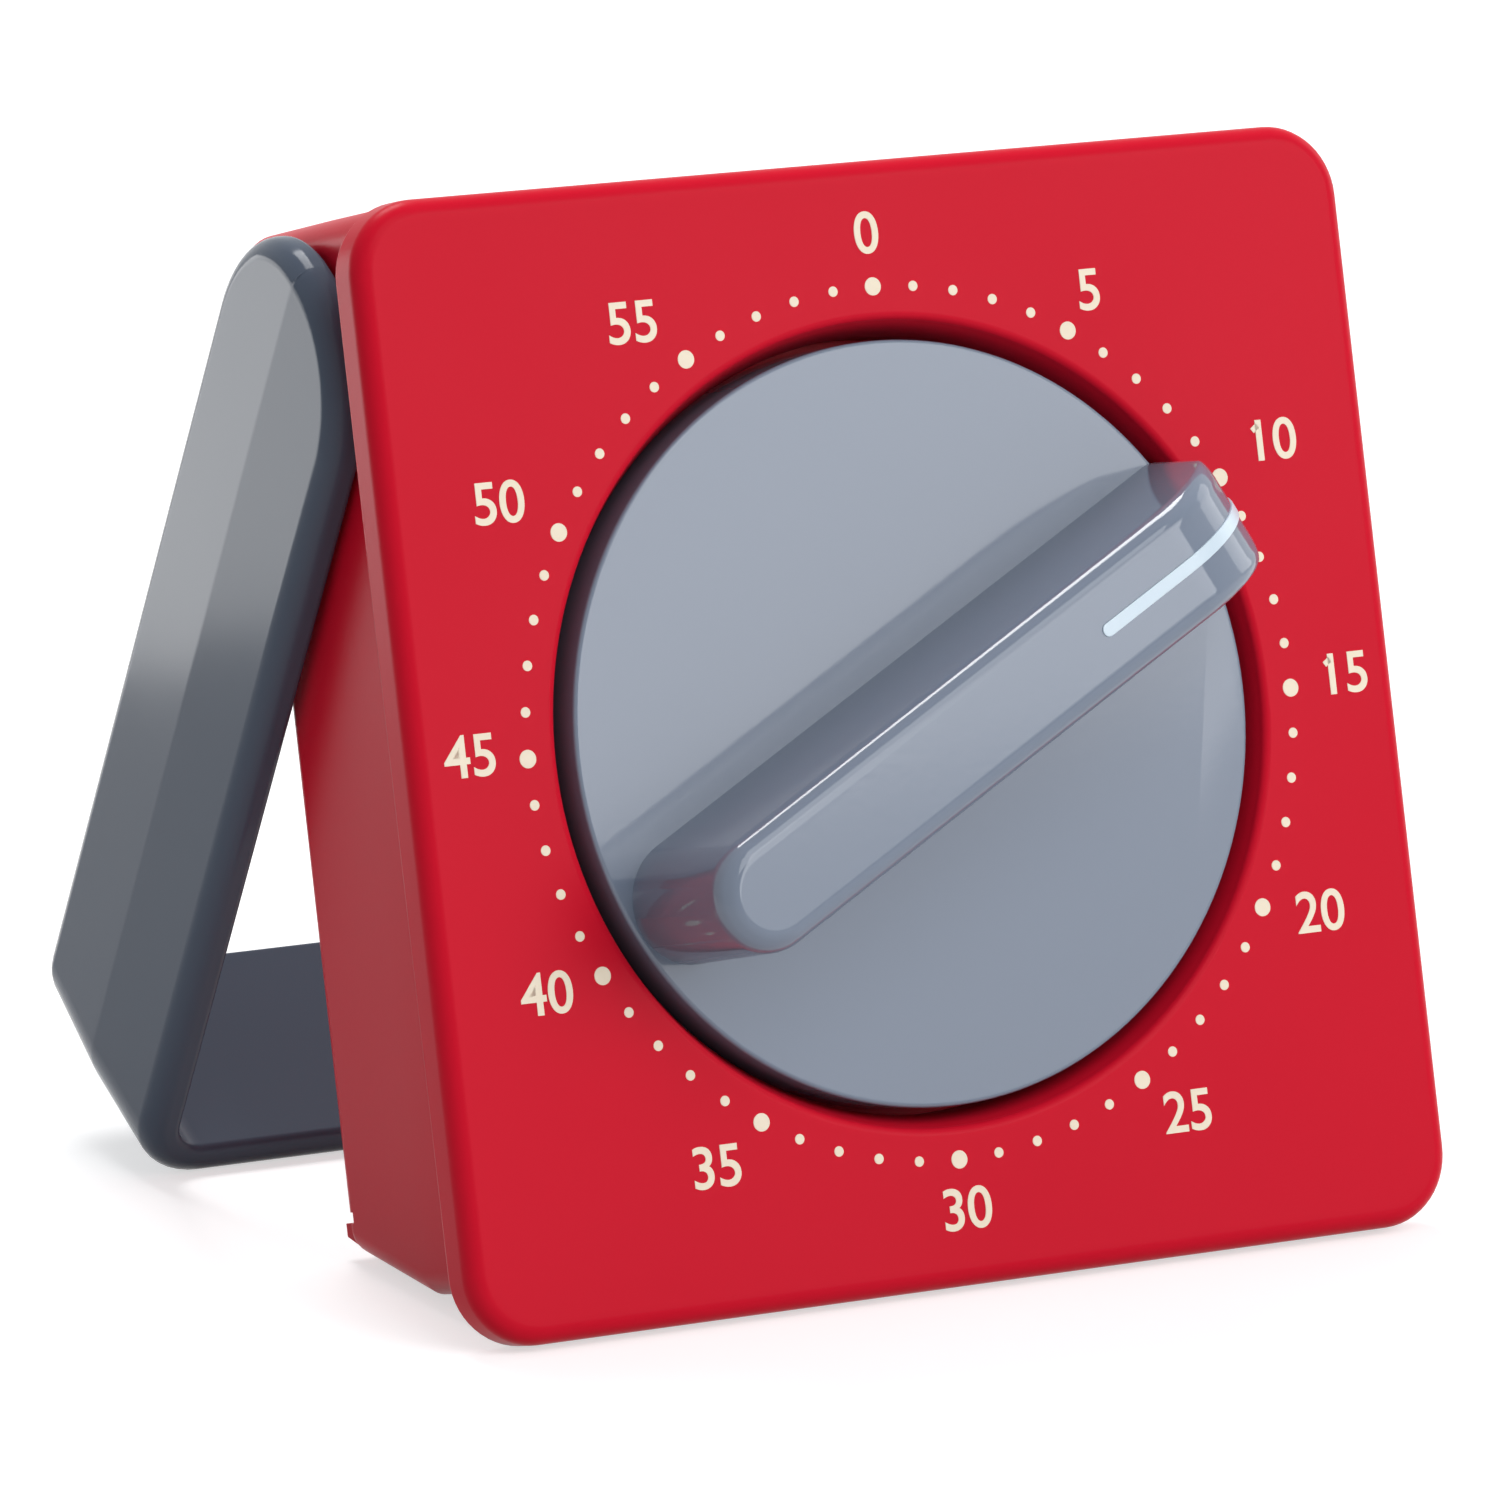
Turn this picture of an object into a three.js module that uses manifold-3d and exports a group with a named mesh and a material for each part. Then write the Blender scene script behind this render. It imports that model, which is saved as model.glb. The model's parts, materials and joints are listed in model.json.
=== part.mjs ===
// A 60 minute wind-up countdown timer with a folding stand.
// Every piece is drawn with the timer standing upright: x to the right of someone who faces the
// dial, y into the timer from the front face of the bezel, z up, and the knob's axis along y through
// x = z = 0.
// At the end the whole timer is leant back until the bezel's foot and the stand touch the same table.
import * as THREE from "three";
import { mergeVertices } from "three/addons/utils/BufferGeometryUtils.js";
import Module from "manifold-3d";

// ---------- driving dimensions, in millimetres and degrees ----------

const BEZEL_WIDTH = 75;
const CASE_DEPTH = 25.5; // from the bezel's front face to the rear face of the case
const POINTER_MINUTES = 10.28; // where the knob stands

// Sizes across the face grow with the bezel and sizes through the timer with the case's depth,
// and are given as they are on a face 75 wide and a case 25.5 deep.
// Walls, shafts, screws, edges and clearances stay as they are.
const ACROSS = BEZEL_WIDTH / 75;
const THROUGH = CASE_DEPTH / 25.5;

// clearances
const SEAM = 0.3; // between parts that rest on or fit round each other
const RUNNING = 0.1; // radial, shaft in its hole
const MESH_STEPS = 52; // facets of the large turned forms
const SMALL_STEPS = 10; // facets of shafts and screws
const CORNER_STEPS = 6; // facets of the stand's corners
const SLIVER = 0.005; // booleans are cleaned of anything thinner than this
const PAST = 1; // cutters run this far past what they cut

// bezel
const BEZEL_THICKNESS = 3.4 * THROUGH;
const BEZEL_CORNER_RADIUS = 5;
const BEZEL_FRONT_EDGE_RADIUS = 1.3;
const BEZEL_BACK_EDGE_RADIUS = 0.4;
const BEZEL_WALL = 2.2;
const DISH_DEPTH = 5.4 * THROUGH;
const DISH_LIP_RADIUS = 0.5;
const DISH_FLOOR = 2;
const SPIGOT_WALL = 1.4;
const SPIGOT_LENGTH = 3.6 * THROUGH;

// knob
const KNOB_RADIUS = 25.5 * ACROSS;
const KNOB_GAP = 1.3; // ring of shadow between the knob and the wall of the dish
const KNOB_DISC_DEPTH = 4.8 * THROUGH;
const KNOB_EDGE_RADIUS = 0.4;
const KNOB_WALL = 1.8;
const KNOB_HUB_RADIUS = 4.6;
const GRIP_HEIGHT = 11.8;
const GRIP_BASE_WIDTH = 8.5;
const GRIP_TOP_WIDTH = 7.9;
const GRIP_EDGE_RADIUS = 1.4;
const GRIP_OVERHANG = 0.6; // the pointer end of the grip reaches this far past the disc
const GRIP_NOSE_LENGTH = 9; // stretch over which the top curves down to the tip
const GRIP_NOSE_ROOT = -1.8; // depth at which the nose stands upright
const GRIP_NOSE_CORNER = 2.4;
const POINTER_WIDTH = 0.95;
const POINTER_START = 9.3 * ACROSS; // from the knob's axis
const POINTER_PROUD = 0.12;
const POINTER_INSET = 0.7;
const POINTER_END_HEIGHT = 3.2; // the line stops this far in front of the bezel's face

// case
const CASE_WALL = 1.8;
const CASE_HALF_WIDTH = 34 * ACROSS;
const CASE_SIDE_DRAFT = 0.5; // each side comes in by this much at the rear
const CASE_TOP = 37.4 * ACROSS;
const CASE_TOP_DROP = 0.2; // the roof falls by this much towards the rear
const CASE_BOTTOM = -34 * ACROSS;
const CASE_BOTTOM_BEND = 12 * THROUGH; // the underside starts to rise here
const CASE_BOTTOM_SLOPE = 17.5; // degrees
const CASE_CORNER_RADIUS = 2.5;
const CASE_REAR_EDGE_RADIUS = 1.5;
const CATCH_GROOVE_HEIGHT = 0.9;
const CATCH_GROOVE_DEPTH = 1.3;
const CATCH_GROOVE_ABOVE_EDGE = 1.2;
const CATCH_LIP = 0.7;
const SOUND_SLOT_COUNT = 7;
const SOUND_SLOT_PITCH = 4.2 * ACROSS;
const SOUND_SLOT_WIDTH = 1.8;
const SOUND_SLOT_LENGTH = 24 * ACROSS;

// case screws
const SCREW_SPREAD = 27.5 * ACROSS; // to each side of the middle
const SCREW_HIGH = 27 * ACROSS;
const SCREW_LOW = -24.5 * ACROSS;
const SCREW_SHANK_RADIUS = 1.3;
const SCREW_HEAD_RADIUS = 2.7;
const SCREW_HEAD_HEIGHT = 1.5;
const SCREW_LENGTH = 12 * THROUGH;
const SCREW_SINK = 0.5; // head below the rear face
const SCREW_SLOT = 0.8;
const POST_RADIUS = 3.2;
const BOSS_WALL = 1.5;
const BOSS_FLOOR = 1.6;

// stand
const STAND_OPEN_ANGLE = 42;
const STAND_THICKNESS = 2.7;
const STAND_FRONT = 4.7 * THROUGH; // folded: front edge, from the bezel's front face
const STAND_REAR = 23.6 * THROUGH; // folded: rear edge
const STAND_CREASE = 14.25 * THROUGH; // folded: where the rear facet turns inwards
const STAND_REAR_INSET = 1.1;
const STAND_REAR_THICKNESS = 2;
const STAND_EDGE_RADIUS = 1.6; // outer front edge
const STAND_EDGE_BEVEL = 0.8; // the other edges
const STAND_BOTTOM = -37.1 * ACROSS; // folded
const STAND_CORNER_RADIUS = 5;
const STAND_SIDE_GAP = 0.3; // arm to case, where the case is widest
const STAND_EAR_Z = 24.7 * ACROSS; // middle of the round end of each arm
const PIVOT_Y = 12.5 * THROUGH;
const PIVOT_Z = 28.3 * ACROSS;
const PIVOT_RADIUS = 2;
const PIVOT_HEAD_RADIUS = 3;
const PIVOT_HEAD_HEIGHT = 0.6;
const PIVOT_ENGAGEMENT = 1.9; // length of pin inside the arm
const STOP_NUB_RADIUS = 1;
const STOP_NUB_ORBIT = 5.6 * THROUGH; // from the pivot
const STOP_NUB_ANGLE = 20; // above the horizontal, at the pivot
const STOP_NUB_HEIGHT = 1.2;

// movement, from front to rear
const PLATE_FRONT_Y = 8.4 * THROUGH;
const PLATE_THICKNESS = 1 * THROUGH;
const PLATE_GAP = 8.2 * THROUGH;
const PLATE_HALF_WIDTH = 22.5 * ACROSS;
const PLATE_TOP = 25.5 * ACROSS;
const PLATE_BOTTOM = -29 * ACROSS;
const PLATE_CORNER_RADIUS = 3;
const PILLAR_RADIUS = 2;
const PILLAR_TENON_RADIUS = 1.2;
const PILLAR_SPREAD = 20 * ACROSS;
const PILLAR_HIGH = 16 * ACROSS;
const PILLAR_LOW = -23.5 * ACROSS;
const MOVEMENT_SCREW_PLACES = [
  [19.5 * ACROSS, 23 * ACROSS],
  [-19.5 * ACROSS, 23 * ACROSS],
  [-14.5 * ACROSS, -26.5 * ACROSS],
  [14.5 * ACROSS, -26.5 * ACROSS],
];
const MOVEMENT_SCREW_RADIUS = 1;
const MOVEMENT_SCREW_LENGTH = 4.4 * THROUGH;
const MOVEMENT_SCREW_HEAD_RADIUS = 1.9;
const MOVEMENT_SCREW_HEAD_HEIGHT = 1.1;
const MOVEMENT_SCREW_CROWN = 0.4; // rounding of the head
const MOVEMENT_BOSS_RADIUS = 2.4;
const WHEEL_THICKNESS = 0.7 * THROUGH;
const PINION_THICKNESS = 1.2 * THROUGH;
const LAYER_CAM = 0.3 * THROUGH; // each layer starts this far behind the front plate
const LAYER_ESCAPE = 1.7 * THROUGH;
const LAYER_SPRING = 1.4 * THROUGH;
const LAYER_MAIN = 4.6 * THROUGH;
const LAYER_SECOND = 5.8 * THROUGH;
const LAYER_THIRD = 7 * THROUGH;

const MAIN_SHAFT_RADIUS = 2;
const MAIN_SHAFT_FLAT = 1.5; // distance of the flat from the axis
const MAIN_SHAFT_IN_KNOB = 4.6 * THROUGH;
const ARBOR_RADIUS = 0.8;
const MAIN_TEETH = 48;
const SECOND_PINION_TEETH = 8;
const SECOND_TEETH = 49;
const THIRD_PINION_TEETH = 7;
const THIRD_TEETH = 48;
const ESCAPE_PINION_TEETH = 6;
const ESCAPE_TEETH = 18;
const MAIN_MODULE = 0.56 * ACROSS;
const SECOND_MODULE = 0.41 * ACROSS;
const THIRD_MODULE = 0.37 * ACROSS;
const SECOND_BEARING = -35; // direction from the main arbor
const THIRD_BEARING = -125; // from the second arbor
const ESCAPE_BEARING = 190; // from the third arbor
const ESCAPE_RADIUS = 5.5 * ACROSS;
const PALLET_BEARING = 170; // from the escape arbor
const PALLET_DISTANCE = 9 * ACROSS;
const PALLET_PIN_GAP = 0.9; // escape teeth to the middle of a pallet pin, so that it clears them
const PALLET_PIN_SPREAD = 50;
const PALLET_PIN_RADIUS = 0.4;
const BALANCE_RADIUS = 5.5 * ACROSS;
const BALANCE_RIM = 1.4;
const BALANCE_BAR_WIDTH = 1.8;
const BALANCE_BAR_BEARING = 60;
const PALLET_ARM_WIDTH = 1.6;
const PALLET_HUB_RADIUS = 1.8;
const WHEEL_RIM = 2.6 * ACROSS; // pitch circle to the windows
const WHEEL_HUB_WALL = 1.8;
const SPOKE_HALF_ANGLE = 0.16; // radians, at the rim
const SPOKE_FLARE = 0.2; // radians by which a spoke is wider at the hub, to each side

const SPRING_STRIP = 0.4;
const SPRING_WIDTH = 2.8 * THROUGH;
const SPRING_INNER_RADIUS = 3 * ACROSS;
const SPRING_OUTER_RADIUS = 12.2 * ACROSS;
const SPRING_TURNS = 4;
const STEPS_PER_TURN = 15; // straight pieces in each turn of the spiral
const HOOK_STEPS = 7;
const SPRING_HOOK_ANGLE = 200; // how far the hook goes round its pillar

const CAM_RADIUS = 5.5 * ACROSS;
const HAMMER_X = -17.5 * ACROSS;
const HAMMER_Z = 3 * ACROSS;
const HAMMER_HEAD_RADIUS = 2.2;
const HAMMER_HEAD_GAP = 0.7;
const HAMMER_HEAD_BEARING = 192; // from the middle of the bell
const HAMMER_THICKNESS = 1;
const HAMMER_HEAD_THICKNESS = 2.4;
const HAMMER_ARBOR_END = 0.2; // arbor past the rear face of the hammer
const LEVER_WIDTH = 2.4;

const BELL_X = 3 * ACROSS;
const BELL_Z = -4 * ACROSS;
const BELL_RADIUS = 17.5 * ACROSS;
const BELL_DEPTH = 3.4 * THROUGH;
const BELL_WALL = 0.7;
const BELL_GAP = 0.5; // rear plate to the rim of the bell
const BELL_CROWN = 0.72; // radius of its flat top, as a share of its own
const BELL_SHOULDER_DROP = 2; // the top rounds off over this depth
const BELL_DRAFT = 1; // and comes in by this much
const BELL_POST_RADIUS = 2;
const BELL_TENON = 0.6; // radius of the post's end in the plate, as a share of its own
const BELL_SCREW_RADIUS = 1;
const BELL_SCREW_LENGTH = 2.4;
const BELL_SCREW_HEAD = 0.7;

// ---------- sizes that follow from them ----------

const DISH_RADIUS = KNOB_RADIUS + KNOB_GAP;
const GRIP_NOSE_REACH = KNOB_RADIUS + GRIP_OVERHANG; // from the axis
const DISH_FLOOR_BACK = DISH_DEPTH + DISH_FLOOR;
const HUB_HOLE_RADIUS = KNOB_HUB_RADIUS + 2 * SEAM;
const CASE_FRONT = BEZEL_THICKNESS + SEAM;
const CASE_INNER_REAR = CASE_DEPTH - CASE_WALL;
const PLATE_REAR_Y = PLATE_FRONT_Y + PLATE_THICKNESS + PLATE_GAP;
const PLATE_INNER_Y = PLATE_FRONT_Y + PLATE_THICKNESS;
const PLATE_REAR_BACK = PLATE_REAR_Y + PLATE_THICKNESS;
const STAND_OUTER_X = CASE_HALF_WIDTH + STAND_SIDE_GAP + STAND_THICKNESS;
const PALLET_PIN_ORBIT = ESCAPE_RADIUS + PALLET_PIN_GAP; // from the escape arbor

const rad = THREE.MathUtils.degToRad;

// ---------- solids ----------

const wasm = await Module();
wasm.setup();

// A closed three.js geometry as a solid, its faces pointing out.
function solid(geometry) {
  const bare = geometry.index ? geometry.toNonIndexed() : geometry.clone();
  bare.deleteAttribute("normal");
  bare.deleteAttribute("uv");
  const merged = mergeVertices(bare, 1e-4);
  const make = (triVerts) =>
    new wasm.Manifold(
      new wasm.Mesh({ numProp: 3, vertProperties: merged.attributes.position.array, triVerts }),
    );
  const made = make(new Uint32Array(merged.index.array));
  if (made.volume() > 0) return made;
  return make(new Uint32Array(merged.index.array).reverse());
}

function geometryOf(body) {
  const mesh = body.simplify(SLIVER).getMesh();
  const geometry = new THREE.BufferGeometry();
  const corners = new Float32Array(mesh.triVerts.length * 3);
  mesh.triVerts.forEach((vertex, i) => {
    for (let axis = 0; axis < 3; axis += 1) {
      corners[i * 3 + axis] = mesh.vertProperties[vertex * mesh.numProp + axis];
    }
  });
  geometry.setAttribute("position", new THREE.BufferAttribute(corners, 3));
  geometry.computeVertexNormals();
  return geometry;
}

const union = (bodies) => bodies.reduce((sum, body) => sum.add(body));
const without = (body, cutters) => cutters.reduce((rest, cutter) => rest.subtract(cutter), body);

// A flat outline in x and z, given as a THREE.Shape, made solid from y0 to y1.
function slab(shape, y0, y1, curveSegments = 12) {
  const depth = y1 - y0;
  const geometry = new THREE.ExtrudeGeometry(shape, { depth, bevelEnabled: false, curveSegments });
  geometry.rotateX(Math.PI / 2);
  geometry.translate(0, y1, 0);
  return solid(geometry);
}

// A side outline in y and z, made solid from x0 to x1.
function sideSlab(shape, x0, x1, curveSegments = 12) {
  const depth = x1 - x0;
  const geometry = new THREE.ExtrudeGeometry(shape, { depth, bevelEnabled: false, curveSegments });
  const turned = new THREE.Matrix4().makeBasis(
    new THREE.Vector3(0, 1, 0),
    new THREE.Vector3(0, 0, 1),
    new THREE.Vector3(1, 0, 0),
  );
  geometry.applyMatrix4(turned);
  geometry.translate(x0, 0, 0);
  return solid(geometry);
}

// A profile of [radius, y] pairs, turned about the y axis through (x, z). It closes on itself.
function turned(profile, x = 0, z = 0, steps = SMALL_STEPS) {
  const points = profile.map(([radius, y]) => new THREE.Vector2(radius, y));
  if (profile[0][0] > 0) points.push(points[0].clone());
  const geometry = new THREE.LatheGeometry(points, steps);
  geometry.translate(x, 0, z);
  return solid(geometry);
}

const rod = (radius, y0, y1, x = 0, z = 0, steps = SMALL_STEPS) =>
  turned([[0, y0], [radius, y0], [radius, y1], [0, y1]], x, z, steps);

// A cutter for a round hole whose flats stand at the full radius, so that a faceted shaft clears them.
const bore = (radius, y0, y1, x = 0, z = 0, steps = SMALL_STEPS) =>
  rod(radius / Math.cos(Math.PI / steps), y0, y1, x, z, steps);

// A cylinder along x, for the hinge of the stand.
function crossRod(radius, x0, x1, y, z, steps = 16) {
  const geometry = new THREE.CylinderGeometry(radius, radius, Math.abs(x1 - x0), steps);
  geometry.rotateZ(Math.PI / 2);
  geometry.translate((x0 + x1) / 2, y, z);
  return solid(geometry);
}

function block(x0, x1, y0, y1, z0, z1) {
  const geometry = new THREE.BoxGeometry(x1 - x0, y1 - y0, z1 - z0);
  geometry.translate((x0 + x1) / 2, (y0 + y1) / 2, (z0 + z1) / 2);
  return solid(geometry);
}

// A rectangle with rounded corners as a closed list of points, always the same number of them.
function roundedRectangle(halfWidth, low, high, radius, cornerSteps = 4) {
  const points = [];
  const corners = [
    [halfWidth - radius, high - radius, 0],
    [radius - halfWidth, high - radius, 90],
    [radius - halfWidth, low + radius, 180],
    [halfWidth - radius, low + radius, 270],
  ];
  for (const [x, z, start] of corners) {
    for (let step = 0; step <= cornerSteps; step += 1) {
      const angle = rad(start + (90 * step) / cornerSteps);
      points.push(new THREE.Vector2(x + radius * Math.cos(angle), z + radius * Math.sin(angle)));
    }
  }
  return points;
}

// Skins a row of sections, each a list of 3-D points, and closes both ends.
// The ends are flat, and are filled as they look when seen along the third axis.
function loft(sections, flatten = (point) => new THREE.Vector2(point.x, point.z)) {
  const count = sections[0].length;
  const corners = [];
  const face = (...points) => points.forEach((point) => corners.push(point.x, point.y, point.z));
  for (let row = 0; row + 1 < sections.length; row += 1) {
    for (let i = 0; i < count; i += 1) {
      const next = (i + 1) % count;
      const [a, b] = [sections[row][i], sections[row][next]];
      const [c, d] = [sections[row + 1][next], sections[row + 1][i]];
      face(a, b, c);
      face(a, c, d);
    }
  }
  const { isClockWise, triangulateShape } = THREE.ShapeUtils;
  for (const section of [sections[0], sections.at(-1)]) {
    const outline = section.map(flatten);
    for (const triangle of triangulateShape(outline, [])) {
      const along = isClockWise(triangle.map((i) => outline[i])) === isClockWise(outline);
      const corner = triangle.map((i) => section[i]);
      face(...(along === (section === sections[0]) ? corner.reverse() : corner));
    }
  }
  const geometry = new THREE.BufferGeometry();
  geometry.setAttribute("position", new THREE.Float32BufferAttribute(corners, 3));
  return solid(geometry);
}

const atDepth = (outline, y) => outline.map((point) => new THREE.Vector3(point.x, y, point.y));

// Insets that follow a quarter circle: pairs of [how far along, how far in].
function quarterRound(radius, steps = 3) {
  return Array.from({ length: steps + 1 }, (_, i) => {
    const angle = (Math.PI / 2) * (i / steps);
    return [radius * (1 - Math.sin(angle)), radius * (1 - Math.cos(angle))];
  });
}

const circle = (radius, x = 0, z = 0) => new THREE.Shape().absarc(x, z, radius, 0, 2 * Math.PI);
const polygon = (points) => new THREE.Shape(points.map(([x, z]) => new THREE.Vector2(x, z)));
const along = (x, z, bearing, distance) => [
  x + distance * Math.cos(rad(bearing)),
  z + distance * Math.sin(rad(bearing)),
];

// ---------- materials and the scene graph ----------

const finish = (color, roughness, metalness = 0) => () =>
  new THREE.MeshStandardMaterial({ color, roughness, metalness });
const redPlastic = finish(0xd32a3a, 0.3);
const greyPlastic = finish(0x9aa3b2, 0.35);
const slatePlastic = finish(0x5a6373, 0.3);
const palePlastic = finish(0xdfe9ee, 0.35);
const brass = finish(0xc8a24a, 0.35, 1);
const steel = finish(0xb4b8bd, 0.35, 1);
const springSteel = finish(0x5d6470, 0.3, 1);
const bellMetal = finish(0xd9d9d6, 0.2, 1);

const timer = new THREE.Group();
const leaning = new THREE.Group();
timer.add(leaning);

function addTo(group, name, body, material) {
  const mesh = new THREE.Mesh(geometryOf(body), material());
  mesh.name = name;
  group.add(mesh);
}

// ---------- case ----------

// Half width, floor and roof of the case at a depth, less a wall.
function caseSection(y, wall, inset = 0) {
  const back = (y - CASE_FRONT) / (CASE_DEPTH - CASE_FRONT);
  const rise = Math.max(0, y - CASE_BOTTOM_BEND) * Math.tan(rad(CASE_BOTTOM_SLOPE));
  return {
    halfWidth: CASE_HALF_WIDTH - CASE_SIDE_DRAFT * back - wall - inset,
    low: CASE_BOTTOM + rise + wall + inset,
    high: CASE_TOP - CASE_TOP_DROP * back - wall - inset,
    radius: Math.max(CASE_CORNER_RADIUS - wall, 1),
  };
}

function caseLoft(wall, yStart, yEnd, edgeRadius, edgeSteps) {
  const stations = [[yStart, 0], [CASE_BOTTOM_BEND, 0]];
  for (const [before, inset] of quarterRound(edgeRadius, edgeSteps)) {
    stations.push([yEnd - before, inset]);
  }
  return loft(
    stations.map(([y, inset]) => {
      const { halfWidth, low, high, radius } = caseSection(y, wall, inset);
      return atDepth(roundedRectangle(halfWidth, low, high, radius), y);
    }),
  );
}

const screwPlaces = [
  [SCREW_SPREAD, SCREW_HIGH],
  [-SCREW_SPREAD, SCREW_HIGH],
  [-SCREW_SPREAD, SCREW_LOW],
  [SCREW_SPREAD, SCREW_LOW],
];
const screwHeadFront = CASE_DEPTH - SCREW_SINK - SCREW_HEAD_HEIGHT;
const counterboreFloor = screwHeadFront - SEAM;
const bossFront = counterboreFloor - BOSS_FLOOR;
const postRear = bossFront - SEAM;
const counterboreRadius = SCREW_HEAD_RADIUS + SEAM;
const screwHoleRadius = SCREW_SHANK_RADIUS + SEAM;
const sideX = (y) => caseSection(y, 0).halfWidth;
const nubPlace = along(PIVOT_Y, PIVOT_Z, STOP_NUB_ANGLE, STOP_NUB_ORBIT);

function caseShell() {
  const outside = caseLoft(0, CASE_FRONT, CASE_DEPTH, CASE_REAR_EDGE_RADIUS, 3);
  const inside = caseLoft(CASE_WALL, CASE_FRONT - PAST, CASE_INNER_REAR, CASE_REAR_EDGE_RADIUS / 2, 1);
  const rearEdge = caseSection(CASE_DEPTH, 0, CASE_REAR_EDGE_RADIUS);
  const grooveLow = rearEdge.low + CATCH_GROOVE_ABOVE_EDGE;
  const lip = sideSlab(
    polygon([
      [CASE_DEPTH - CASE_WALL / 2, grooveLow],
      [CASE_DEPTH + CATCH_LIP, grooveLow],
      [CASE_DEPTH + CATCH_LIP, grooveLow - CATCH_LIP],
      [CASE_DEPTH - CASE_WALL / 2, rearEdge.low - CASE_REAR_EDGE_RADIUS / 2],
    ]),
    -rearEdge.halfWidth,
    rearEdge.halfWidth,
  );
  const shell = without(outside, [inside]).add(lip);
  const bosses = screwPlaces.map(([x, z]) =>
    rod(counterboreRadius + BOSS_WALL, bossFront, CASE_INNER_REAR + CASE_WALL / 2, x, z),
  );
  const nubs = [-1, 1].map((side) => {
    const [y, z] = nubPlace;
    const root = side * (sideX(y) - CASE_WALL / 2);
    return crossRod(STOP_NUB_RADIUS, root, side * (sideX(y) + STOP_NUB_HEIGHT), y, z);
  });
  const cutters = [
    block(
      -CASE_HALF_WIDTH,
      CASE_HALF_WIDTH,
      CASE_DEPTH - CATCH_GROOVE_DEPTH,
      CASE_DEPTH + 2 * PAST,
      grooveLow,
      grooveLow + CATCH_GROOVE_HEIGHT,
    ),
    ...screwPlaces.flatMap(([x, z]) => [
      bore(screwHoleRadius, bossFront - PAST, CASE_DEPTH, x, z),
      bore(counterboreRadius, counterboreFloor, CASE_DEPTH + PAST, x, z, 14),
    ]),
    ...[-1, 1].map((side) => {
      const [inner, outer] = [CASE_HALF_WIDTH - CASE_WALL - PAST, CASE_HALF_WIDTH + PAST];
      return crossRod(PIVOT_RADIUS + RUNNING, side * inner, side * outer, PIVOT_Y, PIVOT_Z);
    }),
  ];
  for (let i = 0; i < SOUND_SLOT_COUNT; i += 1) {
    const x = BELL_X + (i - (SOUND_SLOT_COUNT - 1) / 2) * SOUND_SLOT_PITCH;
    const reach = SOUND_SLOT_LENGTH / 2 - SOUND_SLOT_WIDTH / 2;
    const slot = new THREE.Shape();
    slot.absarc(x, BELL_Z + reach, SOUND_SLOT_WIDTH / 2, 0, Math.PI);
    slot.absarc(x, BELL_Z - reach, SOUND_SLOT_WIDTH / 2, Math.PI, 2 * Math.PI);
    cutters.push(slab(slot, CASE_INNER_REAR - PAST, CASE_DEPTH + PAST, 3));
  }
  return without(union([shell, ...bosses, ...nubs]), cutters);
}

function caseScrew(x, z) {
  const tip = screwHeadFront - SCREW_LENGTH;
  const head = CASE_DEPTH - SCREW_SINK;
  const crown = SCREW_HEAD_HEIGHT / 3;
  const body = turned(
    [
      [0, tip],
      [SCREW_SHANK_RADIUS / 2, tip],
      [SCREW_SHANK_RADIUS, tip + SCREW_SHANK_RADIUS],
      [SCREW_SHANK_RADIUS, screwHeadFront],
      [SCREW_HEAD_RADIUS, screwHeadFront],
      [SCREW_HEAD_RADIUS, head - crown],
      [SCREW_HEAD_RADIUS - crown, head],
      [0, head],
    ],
    x,
    z,
  );
  const halfSlot = SCREW_SLOT / 2;
  const deep = head - SCREW_HEAD_HEIGHT / 2;
  const arm = SCREW_HEAD_RADIUS * 0.7;
  return without(body, [
    block(x - arm, x + arm, deep, head + 1, z - halfSlot, z + halfSlot),
    block(x - halfSlot, x + halfSlot, deep, head + 1, z - arm, z + arm),
  ]);
}

// ---------- bezel ----------

const movementBossRear = PLATE_FRONT_Y - SEAM;
const movementPilotFront = movementBossRear - MOVEMENT_SCREW_LENGTH;

function bezelSection(y, inset) {
  const half = BEZEL_WIDTH / 2 - inset;
  return atDepth(roundedRectangle(half, -half, half, BEZEL_CORNER_RADIUS - inset), y);
}

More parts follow.
